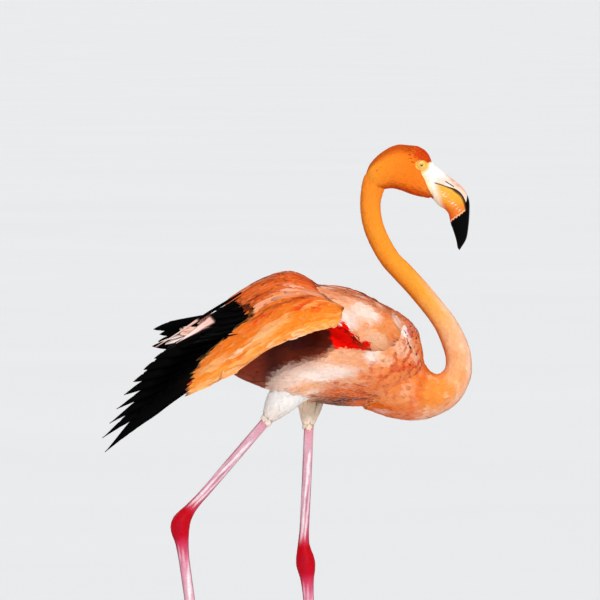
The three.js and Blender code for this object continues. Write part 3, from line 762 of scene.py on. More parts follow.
def head_tint(points):
    """Orange head, deep red over the forehead, brown-red painted shade under the throat, pale towards the bare
    lores.
    """
    x, _, z = points.T
    top, bottom, _ = skull_lines(x)
    rise = np.clip((z - bottom) / np.maximum(top - bottom, 1), 0, 1)
    forehead = ease(x, 158, 172) * ease(rise, 0.66, 0.82)
    speck = cloud(points * [1.0, 0.6, 1.4], 4.5, 23)
    return painted(
        ramp_colour(x, (95, "ff9e30"), (130, chosen("plumage").head), (165, "ff7f1e"), (190, "f98d33")),
        ("dc3c0c", 0.95 * forehead), ("c4480a", 0.9 * ease(rise, 0.72, 0.95) * (1 - forehead)),
        ("a8320a", 0.75 * ease(rise, 0.72, 0.9) * ease(x, 138, 160) * ease(speck, 0.1, 0.4)),
        # painted shade: brown-red along the head's underside, mottled further back
        ("cc4409", 0.9 * fall(rise, 0.02, 0.2)),
        ("b02c06", 0.7 * fall(rise, 0.04, 0.3) * ease(x, 118, 132) * ease(speck, 0.1, 0.45)),
    )


def neck_tint(points):
    """Orange neck that pales to peach towards its root, darker along its hollow side, a painted highlight
    along its outer side.
    """
    share = neck_share(points)
    patch = cloud(points, 22, 3)
    low = ease(share, 0.45, 0.65)
    way = NECK.at(share + 0.01) - NECK.at(share - 0.01)
    off = points - NECK.at(share)
    front = (off[:, 0] * way[:, 2] - off[:, 2] * way[:, 0]) / span(way) / neck_deep(share)
    return painted(
        ramp_colour(share, (0, "fb7a1e"), (0.08, "ff8c26"), (0.16, "fd9226"), (0.45, chosen("plumage").neck),
                    (0.55, "fcb060"), (0.64, "f9b887"), (0.74, "f9ac74"), (0.82, "f8923c"), (1, "f28c44")),
        ("f58a3c", 0.4 * ease(patch, 0.2, 0.9) * low), ("ffe2c4", 0.45 * ease(-patch, 0.2, 0.9) * low),
        # painted highlight: pale pink along the neck's outer side
        ("fcd0bb", 0.55 * ease(-front, 0.35, 0.95) * ease(share, 0.38, 0.55)),
        ("d9691c", 0.5 * ease(front, 0.6, 1.0) * ease(share, 0.05, 0.15)),
        ("ea5a18", 0.65 * fall(np.abs(share - 0.895), 0.0, 0.03)),
        (trunk_tint(points), ease(share, 0.88, 0.95)),
    )


# Named blots of the body in the side view, one of them a painted highlight: X, Z, half length, half height,
# tilt, colour
BODY_BLOTS_AND_HIGHLIGHT = (
    (-20, 598, 66, 22, 6, "ffdcc8"), (38, 603, 44, 9, 4, "ffe9dc"), (94, 691, 24, 10, -30, "fde6d8"),
    (66, 683, 18, 12, -30, "fdeadf"), (120, 674, 15, 8, -10, "f78f42"), (140, 668, 6, 6, 0, "f9a35c"),
    # (152, 663) is a painted highlight on the shoulder
    (152, 663, 8, 9, -50, "fff0ea"), (150, 636, 18, 12, -20, "fbbc94"), (108, 655, 22, 9, -30, "fbbd92"),
    (104, 628, 13, 10, -35, "fff6ee"), (78, 636, 22, 6, 4, "f9b17c"), (122, 622, 16, 8, -25, "fdc9a0"),
    (92, 598, 9, 5, -20, "ee8848"), (70, 587, 36, 6, 6, "f6a878"), (10, 583, 22, 6, 8, "f7a666"),
    (140, 590, 44, 24, 12, "f48a48"), (157, 571, 14, 15, 0, "fbc09a"), (128, 566, 24, 9, -12, "f79a60"),
    (160, 662, 5, 12, 24, "d8480f"), (158, 611, 9, 5, 10, "e2400e"), (140, 608, 4.5, 4.5, 0, "e45f28"),
    (125, 599, 19, 2.2, 38, "d3521c"), (52, 588, 4, 3, 20, "d4602e"), (66, 586, 5, 2.5, 0, "d4602e"),
    (84, 585, 6, 2.5, 10, "c85826"), (74, 722, 8, 2.5, -24, "d96a34"), (97, 712, 5, 2, -20, "c0421c"),
    (124, 699, 12, 2, -35, "b83c1a"), (70, 563, 30, 2.5, 4, "7c3620"), (98, 572, 16, 2.2, -14, "9a4a2a"),
)
# Lower edge of the painted shadow under the half-open wing in the side view: X, Z
WING_SHADOW_EDGE = ((-150, 556), (-62, 560), (-54, 572), (-46, 594), (-36, 605), (-16, 616), (8, 622), (33, 628),
               (46, 640), (52, 650))


def trunk_tint(points):
    """Peach body: pale flank and shoulder, orange breast, red at the wing's root; painted shade below the
    wing, one painted highlight.
    """
    x, y, z = points.T
    plumage = chosen("plumage")
    top = ramp(x, (0, 724), (58, 723), (87, 715), (116, 702), (145, 687), (162, 673))
    wave = cloud(points * [0.5, 0.5, 1.5], 36, 5)
    dapple = ease(cloud(points * [1.0, 0.6, 1.5], 9, 17), 0.2, 0.6)
    crease = np.max([spot(points, 166, 600, 26, 58, 12), 0.9 * spot(points, 112, 606, 56, 14, 28),
                     0.7 * spot(points, 96, 576, 60, 10, -8)], axis=0)
    # painted shade in the hollow under the half-open wing: maroon, browner lower down and towards the rear
    hollow = painted(
        even_colour(plumage.hollow, x), ("86301a", 0.8 * ease(-z, -644, -628) * ease(x, -46, -16)),
        ("8a2c14", fall(x, -64, -40)), ("a4583a", fall(z, 578, 604) * ease(wave, -0.6, 0.5)),
    )
    return painted(
        ramp_colour(
            x, (-147, "f8c6ac"), (-60, "fbcdb4"), (30, plumage.flank), (90, "f8a670"), (130, "f59450"),
            (160, plumage.breast), (182, "f5833a")),
        ("ea6416", 0.97 * fall(z, 574, 600) * ease(x, 6, 50)),
        ("d06c34", 0.85 * ease(z - top, -16, -4) * ease(x, 10, 50)),
        ("ee7630", (0.45 + 0.35 * ease(x, 90, 140)) * ease(wave, 0.15, 0.8)),
        ("fff2ea", 0.5 * ease(-wave, 0.3, 0.9)), *blots(points, BODY_BLOTS_AND_HIGHLIGHT, 0.85),
        ("6a3a26", 0.8 * fall(z, 560, 577) * ease(x, 8, 24) * fall(x, 58, 80)),
        ("d2420c", 0.85 * dapple * crease), (hollow, 0.97 * painted_wing_shadow(points)),
        (plumage.armpit, armpit(points)), *blots(points, SCAPULAR_EDGE_SHADOW, 0.9))


# Painted shadow under the edge of the shoulder's feathers over the red armpit: X, Z, half length, half height,
# tilt, colour
SCAPULAR_EDGE_SHADOW = (
    (56, 671, 15, 2.2, -34, "5c0e06"), (78, 653, 15, 2.4, -42, "7a1a0a"), (96, 643, 12, 2.2, -20, "a8381a"),
)


def armpit(points):
    """Share of the bright red triangle at the root of the half-open wing."""
    x, y, z = points.T
    top = ramp(x, (40, 679), (62, 672), (80, 652), (96, 644), (106, 630))
    return ease(z, 638, 640) * ease(top - z, -5, -3) * ease(x - 38 - (675 - z) * 0.3, -1, 1) * (y < 0)


def painted_wing_shadow(points):
    """Share of the right flank that the half-open wing hangs over, where its shadow is painted."""
    x, y, z = points.T
    front = fall(x - 40 - (675 - z) * 0.3, -1, 1) * ease(x, -132, -118)
    return ease(z - ramp(x, *WING_SHADOW_EDGE), -9, 6) * front * (y < -8) * fall(z, 700, 712)


def thigh_tint(points):
    """White thighs, the left one a cream painted shade of the same white, warm towards the cuff."""
    x, y, z = points.T
    # the left thigh's cream is painted shade of the right one's white
    return painted(even_colour(chosen("plumage").thigh, x), ("fff0d2", ease(y, -4, 4)),
                   ("fbe3cf", 0.7 * fall(z, 528, 562)))


def oval(s, t, place):
    """1 inside an oval on a wing, 0 outside: its middle, half sizes and slant, in shares of the wing."""
    s0, t0, long, short, slant = place
    ds, dt = s - s0, t - t0
    return fall(np.hypot((ds + slant * dt) / long, (dt - slant * ds) / short), 0.6, 1.3)


# Named blots of the half-open wing, and a thin painted highlight along its outer edge: middle, half length,
# half width, slant, colour, strength
WING_BLOTS_AND_HIGHLIGHT = (
    ((0.55, 0.58, 0.30, 0.026, 0.06), "f7b692", 0.6), ((0.40, 0.52, 0.12, 0.022, 0.1), "f6b292", 0.5),
    ((0.42, 0.34, 0.14, 0.05, 0.0), "c44420", 0.75), ((0.28, 0.42, 0.10, 0.035, 0.1), "c23c1a", 0.7),
    ((0.66, 0.50, 0.12, 0.022, 0.05), "d4501e", 0.8), ((0.72, 0.42, 0.14, 0.025, 0.0), "d96a36", 0.6),
    ((0.34, 0.635, 0.075, 0.036, 0.2), "b43210", 0.95), ((0.25, 0.60, 0.06, 0.028, 0.2), "c0401a", 0.9),
    ((0.30, 0.775, 0.06, 0.045, 0.3), "e6480e", 0.95), ((0.265, 0.735, 0.045, 0.03, 0.5), "e6480e", 0.9),
    ((0.19, 0.84, 0.04, 0.04, 0.6), "e6500e", 0.9), ((0.16, 0.77, 0.045, 0.026, 0.0), "e6500e", 0.85),
    ((0.57, 0.695, 0.11, 0.02, 0.03), "ea3a10", 0.9), ((0.66, 0.73, 0.10, 0.012, 0.0), "e9692a", 0.7),
    ((0.70, 0.87, 0.14, 0.016, 0.03), "fdd6ae", 0.8), ((0.70, 0.30, 0.22, 0.02, 0.0), "f4a883", 0.6),
    # (0.30, 1.0) is the painted highlight along the outer edge
    ((0.30, 1.0, 0.2, 0.009, 0.0), "ffe6cc", 0.7), ((0.52, 0.86, 0.14, 0.06, 0.05), "fec184", 0.6),
    ((0.90, 0.86, 0.10, 0.05, 0.0), "fdba7a", 0.6), ((0.45, 0.74, 0.10, 0.03, 0.0), "f07a22", 0.7),
    ((0.22, 0.55, 0.10, 0.05, 0.0), "f2b08c", 0.6), ((0.86, 0.62, 0.08, 0.03, 0.0), "e06a30", 0.8),
    ((0.77, 0.93, 0.03, 0.012, 0.0), "e9601e", 0.8), ((0.69, 0.93, 0.02, 0.012, 0.0), "e9601e", 0.8),
)


def wing_tint(s, t):
    """Coverts of a wing: orange along its outer edge, salmon with maroon streaks over the back, a thin painted
    highlight along that edge.
    """
    s, t = np.broadcast_arrays(np.asarray(s, float), np.asarray(t, float))
    streak = cloud(coordinates(s * 60, t * 1100, 0), 40, 11)
    upper = fall(t, 0.6, 0.72) * ease(s, 0.15, 0.4)
    outer = ease(t, 0.66, 0.74)
    base = ramp_colour(t, (0.25, "e2682f"), (0.4, "e55f1f"), (0.55, "ec7836"), (0.68, "ee701a"),
                       (0.8, chosen("plumage").wing), (0.9, "f88622"), (0.97, "fb9838"), (1, "fbb678"))
    return painted(
        base, ("8a2410", 0.85 * upper * ease(streak, 0.25, 0.75)),
        ("ffd8c6", 0.4 * upper * ease(-streak, 0.45, 0.95)),
        ("ef7420", 0.5 * outer * ease(streak, 0.1, 0.9)), ("ffc078", 0.6 * outer * ease(-streak, 0.2, 0.9)),
        *[(code, strength * oval(s, t, place)) for place, code, strength in WING_BLOTS_AND_HIGHLIGHT])


def right_wing_tint(points, s, t):
    """Coverts of the half-open wing: the body's own colour in front of its edge, and a painted shadow line
    along it.
    """
    front = s - ramp(t, *WING_FRONT)
    # painted shadow: a dark line along the wing's front edge
    colour = mix(wing_tint(s, t), "7c2412", 0.8 * fall(np.abs(front - 0.02), 0.0, 0.035))
    return painted(trunk_tint(points), (colour, ease(front, -0.02, 0.0)),
                   ("020101", (t > 0.33) * ease(s - cover_reach(t), 0.0, 0.01)))


def left_wing_tint(points, s, t):
    """Folded wing's coverts: pink over the back, orange along the lower half, with pale and red streaks."""
    streak = cloud(coordinates(s * 70 + 9 * t, t * 330, 0), 40, 24)
    colour = painted(
        ramp_colour(t, (0, "fbc9b2"), (0.25, "f8ab88"), (0.5, "f78f55"), (0.75, "f98a3a"), (1, "f6a070")),
        ("fcd9cb", 0.7 * ease(s, 0.55, 0.85) * fall(t, 0.6, 0.9)), ("e2501c", 0.5 * ease(streak, 0.2, 0.9)),
        ("ffe6da", 0.3 * ease(-streak, 0.2, 1.0)),
    )
    return mix(trunk_tint(points), colour, ease(s, 0.02, 0.12))


# Front edge of the half-open wing: share of its width, share of its length
WING_FRONT = ((0, 0.34), (0.3, 0.35), (0.4, 0.28), (0.5, 0.2), (0.6, 0.15), (0.7, 0.09), (0.8, 0.02),
              (1, -0.1))
# Place along X of the plumage's front edge by height
FACE_LINE = ((850, 199), (858, 192), (868, 186), (880, 181), (892, 175), (899, 173), (903, 181), (907, 191),
             (910, 201))


def bare_face(points):
    """Where the face is bare skin: in front of a line from the brow to the chin, and round the eye."""
    x, _, z = points.T
    eye = np.hypot(x - EYE_PLACE[0], (z - EYE_PLACE[2]) * 1.1) < 9.0
    return (x > ramp(z, *FACE_LINE)) | eye


def leg_tint(length, v):
    """Bare leg by length from the cuff: pale pink, crimson round the hock, pink again, painted highlight and
    shade; v runs round it.
    """
    skin = chosen("skin")
    hock = ease(length, 158, 178) * fall(length, 214, 244)
    side = np.abs(np.cos(2 * np.pi * v))
    streak_noise = cloud(coordinates(length / 9, v * 75, 0), 9, 31)
    return painted(
        ramp_colour(length, (0, "ec9cac"), (40, "ecb2c4"), (140, "e89cb2"), (166, "dd4664"), (180, skin.hock),
                    (214, "ce0322"), (230, "dc4466"), (256, "ea8aa6"), (290, "f0b2c4"), (400, skin.shank),
                    (520, "e6a3b2")),
        # painted highlight down both sides of the leg, painted shade along its front and back edges
        ("fffafb", 0.95 * side**2 * ease(streak_noise, 0.0, 0.5) * (1 - hock)),
        ("7c0a1c", 0.85 * ease(1 - side, 0.25, 0.8) * ease(-streak_noise, -0.7, 0.4)),
        ("a01a34", 0.5 * side * ease(-streak_noise, 0.45, 0.8)),
    )


# ---- materials

def new_node(tree, kind, values=(), **settings):
    """Outputs of a new shader node: settings, and numbers or sockets for its inputs by place or by label."""
    node = tree.nodes.new(kind)
    for key, value in settings.items():
        setattr(node, key, value)
    for key, value in values.items() if isinstance(values, dict) else enumerate(values):
        if isinstance(value, bpy.types.NodeSocket):
            tree.links.new(value, node.inputs[key])
        else:
            node.inputs[key].default_value = value
    return node.outputs


def maths(tree, operation, *values):
    """Math node fed by sockets or numbers."""
    return new_node(tree, "ShaderNodeMath", values, operation=operation)[0]


def step_between(tree, value, low, high):
    """0 below low to 1 above high, smooth between."""
    return new_node(tree, "ShaderNodeMapRange", (value, low, high), interpolation_type="SMOOTHSTEP")[0]


def vane_pattern(tree, given):
    """One feather: masks of its fringe and shaft, and the ridges of its barbs."""
    side, share, _ = new_node(tree, "ShaderNodeSeparateXYZ", [given["Vane"]])
    away = maths(tree, "MULTIPLY", maths(tree, "ABSOLUTE", maths(tree, "SUBTRACT", side, 0.5)), 2.0)
    slope = maths(tree, "SUBTRACT", maths(tree, "MULTIPLY", share, given["Barbs"]),
                  maths(tree, "MULTIPLY", away, given["Slant"]))
    wave = maths(tree, "SINE", maths(tree, "MULTIPLY", slope, 6.2832))
    return {"Fringe": maths(tree, "MAXIMUM", step_between(tree, away, 0.55, 1.0),
                            step_between(tree, share, 0.84, 1.0)),
            "Shaft": maths(tree, "SUBTRACT", 1.0, step_between(tree, away, 0.0, 0.09)),
            "Ridge": maths(tree, "ADD", maths(tree, "MULTIPLY", wave, 0.5), 0.5)}


def mottle_pattern(tree, given):
    """Uneven shade: noise in the piece's own coordinates, from low to high."""
    values = {"Vector": given["Place"], "Scale": given["Scale"], "Detail": 4.0}
    grain = new_node(tree, "ShaderNodeTexNoise", values)[0]
    shade = new_node(tree, "ShaderNodeMapRange", (grain, 0.25, 0.75, given["Low"], given["High"]))[0]
    return {"Shade": shade, "Grain": grain}


def scute_pattern(tree, given):
    """Plates of bare skin: cells of a Voronoi pattern with sunk borders."""
    values = {"Vector": given["Place"], "Scale": given["Scale"]}
    away = new_node(tree, "ShaderNodeTexVoronoi", values, feature="DISTANCE_TO_EDGE")[0]
    height = step_between(tree, away, 0.0, 0.16)
    return {"Border": maths(tree, "SUBTRACT", 1.0, height), "Height": height}


# Shared patterns: the function that builds each, and its inputs
PATTERNS = {
    "Vane pattern": (vane_pattern, {"Vane": None, "Barbs": 26.0, "Slant": 7.0}),
    "Mottle": (mottle_pattern, {"Place": None, "Scale": 120.0, "Low": 0.9, "High": 1.05}),
    "Scutes": (scute_pattern, {"Place": None, "Scale": 420.0}),
}


def new_group(name):
    """Shader node group of a pattern, built once; an input without a default is a vector."""
    build, inputs = PATTERNS[name]
    tree = bpy.data.node_groups.new(name, "ShaderNodeTree")
    for label, default in inputs.items():
        kind = "NodeSocketVector" if default is None else "NodeSocketFloat"
        socket = tree.interface.new_socket(name=label, in_out="INPUT", socket_type=kind)
        if default is not None:
            socket.default_value = default
    results = build(tree, new_node(tree, "NodeGroupInput"))
    for label in results:
        tree.interface.new_socket(name=label, in_out="OUTPUT", socket_type="NodeSocketFloat")
    new_node(tree, "NodeGroupOutput", results)
    return tree


def attribute(tree, name):
    """Colour that the piece carries under a name."""
    return new_node(tree, "ShaderNodeAttribute", attribute_name=name)[0]


def own_place(tree):
    """Place in the piece's own coordinates."""
    return new_node(tree, "ShaderNodeTexCoord")["Object"]


def shade_colour(tree, shader, colour, shade):
    """Base Color of a shader: a colour times a shade."""
    bright = new_node(tree, "ShaderNodeCombineColor", (shade, shade, shade))[0]
    shaded = new_node(tree, "ShaderNodeMix", {0: 1.0, 6: colour, 7: bright}, data_type="RGBA",
                      blend_type="MULTIPLY")
    tree.links.new(shaded[2], shader.inputs["Base Color"])


def start_material(name, roughness, specular, coat=0.0):
    """Material with one Principled shader, its constants on the shader's own sockets."""
    material = bpy.data.materials.new(name)
    material.use_nodes = True
    tree = material.node_tree
    shader = tree.nodes["Principled BSDF"]
    for label, value in (("Roughness", roughness), ("Specular IOR Level", specular), ("Coat Weight", coat),
                         ("Coat Roughness", 0.12)):
        shader.inputs[label].default_value = value
    return material, tree, shader


def use_group(tree, name, **values):
    """Outputs of a pattern's group, with numbers or sockets on its inputs."""
    return new_node(tree, "ShaderNodeGroup", values,
                    node_tree=bpy.data.node_groups.get(name) or new_group(name))


def add_bump(tree, shader, height, strength, distance):
    """Bump from a height, into the shader's normal."""
    bump = new_node(tree, "ShaderNodeBump", {"Strength": strength, "Distance": distance, "Height": height})
    tree.links.new(bump[0], shader.inputs["Normal"])


def feather_material(name, barbs, fringe, shaft, roughness=0.8, specular=0.03):
    """Feather: tint with fringe and shaft from the vane's own map, ridged along its barbs."""
    material, tree, shader = start_material(name, roughness, specular)
    vane = new_node(tree, "ShaderNodeUVMap", uv_map="Vane")[0]
    pattern = use_group(tree, "Vane pattern", Vane=vane, Barbs=barbs, Slant=barbs * 0.3)
    mottle = use_group(tree, "Mottle", Place=own_place(tree), Scale=260.0, Low=0.9, High=1.06)
    share = maths(tree, "MULTIPLY", pattern["Fringe"], fringe)
    colours = {0: share, 6: attribute(tree, "Tint"), 7: attribute(tree, "Fringe")}
    colour = new_node(tree, "ShaderNodeMix", colours, data_type="RGBA")[2]
    dark = maths(tree, "MULTIPLY", pattern["Ridge"], 0.1)
    shade = maths(tree, "MULTIPLY", mottle["Shade"], maths(tree, "SUBTRACT", 1.05, dark))
    stripe = maths(tree, "SUBTRACT", 1.0, maths(tree, "MULTIPLY", pattern["Shaft"], shaft))
    shade_colour(tree, shader, colour, maths(tree, "MULTIPLY", shade, stripe))
    add_bump(tree, shader, pattern["Ridge"], 0.25, 0.0006)
    return material


def skin_material(name, scale, roughness, border):
    """Bare skin or scaled leg: tint with plates and mottle."""
    material, tree, shader = start_material(name, roughness, 0.07)
    place = own_place(tree)
    plates = use_group(tree, "Scutes", Place=place, Scale=scale)
    mottle = use_group(tree, "Mottle", Place=place, Scale=160.0, Low=0.86, High=1.06)
    sunk = maths(tree, "SUBTRACT", 1.0, maths(tree, "MULTIPLY", plates["Border"], border))
    shade_colour(tree, shader, attribute(tree, "Tint"), maths(tree, "MULTIPLY", mottle["Shade"], sunk))
    add_bump(tree, shader, plates["Height"], 0.35, 0.0008)
    return material


def horn_material(name, roughness, coat, specular=0.4):
    """Smooth horn of the bill and claws: tint with a fine mottle and its bump."""
    material, tree, shader = start_material(name, roughness, specular, coat=coat)
    mottle = use_group(tree, "Mottle", Place=own_place(tree), Scale=300.0, Low=0.88, High=1.06)
    shade_colour(tree, shader, attribute(tree, "Tint"), mottle["Shade"])
    add_bump(tree, shader, mottle["Grain"], 0.12, 0.0005)
    return material


# ---- wing faces

WING_EDGE = 0.05  # share of the wing's width over which its outer edge rounds off


def wing_face(wing, sign, half, nose, s, q, inset):
    """Both faces of a wing in one: q runs from mid-back out over the outer face (0 to 1), round the edge and
    back underneath (1 to 2), as half the thickness turns from up to down; the nose is rounded off."""
    turn = (np.pi * ease(q, 1 - WING_EDGE, 1 + WING_EDGE))[..., None]
    t = np.minimum(q, 2 - q)
    up = frame_on(wing, s, t, sign)[2]
    out = wing(s, t + STEP) - wing(s, t - STEP)
    out = unit(out - up * (out * up).sum(axis=-1, keepdims=True))
    spread = half * np.sqrt(np.maximum(1 - (1 - np.clip(s / nose, 0, 1)) ** 2, 0.01)) - inset
    return wing(s, t) - up * half[..., None] + spread[..., None] * (up * np.cos(turn) + out * np.sin(turn))


def right_face(s, q, inset=0.0):
    """Both faces of the half-open wing."""
    half = right_depth(s) * (1 - 0.25 * np.minimum(q, 2 - q)) / 2
    return wing_face(right_wing, -1, half, 0.05, s, q, inset)


# ---- skin

# How deep the skin lies under each form's outline, which its coat reaches
COAT_DEPTH = {"neck": 2.6, "trunk": 5.0, "thigh": 3.6, "arm": 3.5, "head": 0.7, "wing": 0.8}
SOLE_SHARE = np.cos(np.pi / 8)  # share of the half depth at which an eight-sided toe is flat
SOLE_TRIM = 0.3  # how much of the sole the floor takes off


def leg_form(leg, u, v):
    """Bare leg: a tube of the leg's depth, its front ridged by a scute every 5.2 mm."""
    run = leg["line"].run
    length = u * run
    deep = ramp(length, *LEG_DEEP)
    front = np.maximum(np.cos(2 * np.pi * (v - 0.75)), 0) ** 2
    phase = np.mod(length / 5.2, 1)
    ridge = 0.35 * (1 - phase) ** 2 * front * ease(length, 4, 20)
    return tube(leg["line"], u, v, deep * 0.84 + ridge, deep + ridge)


def toe_line(leg, name):
    """Middle line of a toe: down from the toe joint, then flat on the floor, its length kept."""
    share = np.linspace(0, 1, 9)
    x, y, top = leg["joint"]
    rest = TOE_RADIUS * ramp(share, *TOE_DEEP) * SOLE_SHARE - SOLE_TRIM
    if name == "hind":
        height = np.maximum(top - 9 * share, TOE_RADIUS)
    elif top > 12:
        start = np.maximum(top - 2, rest)
        height = start + (rest - start) * ramp(share, (0, 0), (0.76, 0.9), (0.86, 1), (1, 1))
    else:
        height = rest
    step = TOE_LENGTH[name] / 8
    level = np.sqrt(np.maximum(step**2 - np.diff(height) ** 2, (0.3 * step) ** 2))
    reach = np.append(0, np.cumsum(level))
    turn = np.radians(leg["heading"] + TOE_ANGLES[name] * leg["outward"])
    return Line(coordinates(x + reach * np.cos(turn), y + reach * np.sin(turn), height))


def over_floor(place, height=0.0):
    """Points with none lower than a height over the floor."""
    return np.maximum(place, [-np.inf, -np.inf, height])


def toe_form(leg, name, u, v):
    """Toe: a tube with knuckle pads below, scutes above and a flat sole on the floor."""
    deep = TOE_RADIUS * ramp(u, *TOE_DEEP) * (0.6 if name == "hind" else 1)
    pads = 1 + 0.05 * np.cos(2 * np.pi * u * TOE_LENGTH[name] / 22)
    ridge = 0.3 * (1 - np.mod(u * TOE_LENGTH[name] / 3.4, 1)) ** 2 * np.maximum(-np.sin(2 * np.pi * v), 0)
    return over_floor(tube(toe_line(leg, name), u, v, deep * 1.08 * pads + ridge, deep * pads + ridge))


def web_form(leg, first, second):
    """Web between two toes: a thin plate with a hollow front edge and fine cross wrinkles."""
    s, t = np.meshgrid(np.linspace(0, 1, 26), np.linspace(0, 1, 22), indexing="ij")
    reach = 0.06 + s * (0.78 - 0.3 * np.sin(np.pi * t))
    place = mix(toe_line(leg, first).at(reach), toe_line(leg, second).at(reach), t)
    sag = 0.3 * np.sin(26 * s + 3 * t)
    top, under = place + coordinates(0, 0, sag + 0.9), over_floor(place + coordinates(0, 0, sag - 0.9), 0.05)
    return closed_tube(np.concatenate([top, under[:, ::-1]], axis=1), flip=True)


def lid_form(side):
    """Eyelid: a soft ring laid on the eyeball round its opening."""
    ring, turn = np.meshgrid(*(2 * np.pi * (np.arange(n) / n) for n in (96, 20)), indexing="ij")
    wide, high = chosen("face").lid_width / MM, chosen("face").lid_height / MM
    x, z = wide * np.cos(ring), high * np.sin(ring)
    middle = coordinates(x, np.sqrt((EYE_RADIUS + 0.1) ** 2 - x**2 - z**2), z)
    out = unit(coordinates(np.cos(ring) / wide, 0, np.sin(ring) / high))
    thick = 1.0 + 0.35 * np.maximum(np.sin(ring), 0)
    across, over = 1.15 * np.cos(turn) + 0.6, 0.7 * thick * np.sin(turn)
    swell = out * across[..., None] + unit(middle) * over[..., None]
    place = (middle + swell - [0, 0.45, 0] + EYE_PLACE) * [1, side, 1]
    return place.reshape(-1, 3), [grid_faces(97, 20, flip=side > 0) % place[..., 0].size]


def skull_depth(points):
    """How deep the skin lies under the head's outline: nothing where the face is bare."""
    x, z = points[..., 0], points[..., 2]
    line = ramp(z, *FACE_LINE)
    return COAT_DEPTH["head"] * fall(x, line - 4, line + 1) + 0.15


def bill_root(u, v):
    """Skin over the bill's root: the bill's own section where u is under 0, blended to the skull's behind."""
    angle = -2 * np.pi * v
    back = SKULL_RUN * np.maximum(u, 0)
    step = BILL_MOUTH[1][0] - BILL_MOUTH[0][0]
    share = (np.maximum(-u, 0) * SKULL_RUN / step / (len(BILL_MOUTH) - 1))[:, 0]
    mouth, ridge, edge = (station_line(line, share)[:, None] for line in (BILL_MOUTH, BILL_RIDGE, BILL_EDGE))
    upper = np.sin(angle) > 0
    rise = np.abs(np.sin(angle)) ** 0.8
    proud = 0.3 - 0.9 * ease(-u, 0.025, 0.055)
    x, z = np.moveaxis(mix(mouth, np.where(upper[..., None], ridge, edge), rise * (1 + proud / 25)), -1, 0)
    half = station_line(UPPER_HALF, share)[:, None] * (1 + proud / 13)
    top, bottom, wide = skull_lines(SKULL_START - back)
    front_top, front_bottom, front_half = SKULL_FRONT
    return coordinates(x - back, (half + wide - front_half) * np.cos(angle),
                       z + np.where(upper, top - front_top, bottom - front_bottom) * rise)


def skull_skin():
    """Skin of the head: bare face level with the outline, lightly folded, and over the bill's root."""
    u, v = net(158, 140, -0.062, 0.97)
    head = np.maximum(u, 0)
    place = mix(bill_root(u, v), skull_form(head, v, skull_depth(skull_form(head, v))), ease(u, 0.0, 0.12))
    fold = cloud(place * [1.0, 1.0, 2.0], 7, 21) * 0.12 * ease(u, 0.0, 0.05)
    return closed_tube(place + frame_on(skull_form, head, v, 1)[2] * fold[..., None])


def remeshed(forms):
    """Outer surface of overlapping forms in one: voxel remesh and smoothing."""
    points, groups = join_forms(forms)
    mesh = bpy.data.meshes.new("flesh")
    mesh.from_pydata((points * MM).tolist(), [], [face for group in groups for face in group.tolist()])
    form = place_object("flesh", mesh)
    remesh = form.modifiers.new("Remesh", "REMESH")
    remesh.mode = "VOXEL"
    remesh.voxel_size = chosen("skin").cell
    form.modifiers.new("Smooth", "SMOOTH").iterations = 6
    done = form.evaluated_get(bpy.context.evaluated_depsgraph_get()).to_mesh()
    place = read(done.vertices, "co", float, 3).reshape(-1, 3) / MM
    corners = read(done.loops, "vertex_index", np.int64)
    totals = read(done.polygons, "loop_total", np.int64)
    starts = np.cumsum(totals) - totals
    faces = [corners[starts[totals == n][:, None] + np.arange(n)] for n in (3, 4) if (totals == n).any()]
    form.to_mesh_clear()
    bpy.data.objects.remove(form)
    bpy.data.meshes.remove(mesh)
    return place, faces


def wing_skin(surface):
    """Skin of a wing with its colours: a plate a little inside its coat, in front of the flight feathers."""
    right = surface is right_face
    columns, rows = 96, 64
    q = np.broadcast_to(2.0 * np.arange(columns) / columns, (rows, columns))
    t = np.minimum(q, 2 - q)
    front = np.maximum(ramp(t, *WING_FRONT), 0) if right else 0 * t
    reach = np.minimum(right_reach(t), cover_reach(t) - 0.02) if right else 1 + 0 * t
    s = np.linspace(0, 0.95, rows)[:, None]
    inset = COAT_DEPTH["wing"] + 3.2 * fall(s, 0, 0.07) * (front > 0)
    s = front + s * (reach - front)
    place, faces = closed_tube(surface(s, q, inset), flip=right)
    s, t = np.append(s, [0, 0.95]), np.append(t, [0, 0.95])
    if not right:
        return place, faces, left_wing_tint(place, s, t)
    return place, faces, mix(right_wing_tint(place, s, t), "020101", (s > cover_reach(t) - 0.06) & (t > 0.33))


def leg_skin(leg):
    """Skin and colours of a bare leg and its foot: shank and tarsus, four toes, two webs and the joint."""
    run = leg["line"].run
    u, v = net(340, 28, 0, 1 - 4 / run)
    place, faces = closed_tube(leg_form(leg, u, v))
    shank = (place, faces, leg_tint(np.append(u, [0, 1]) * run, np.append(v, [0, 0])))
    theta, phi = np.meshgrid(np.linspace(0, np.pi, 24)[1:-1], 2 * np.pi * np.arange(32) / 32, indexing="ij")
    ball = coordinates(10 * np.sin(theta) * np.cos(phi), 9 * np.sin(theta) * np.sin(phi), 9.6 * np.cos(theta))
    forms = [(closed_tube(toe_form(leg, name, *net(60, 20))), 1.0) for name in TOE_LENGTH]
    webs = (("inner", "middle"), ("middle", "outer"))
    forms += [(web_form(leg, *toes), [0.95, 0.8, 0.84]) for toes in webs]
    forms.append((closed_tube(over_floor(ball + leg["joint"])), 1.0))
    return [shank, *[(place, faces, foot_tint(place) * shade) for (place, faces), shade in forms]]


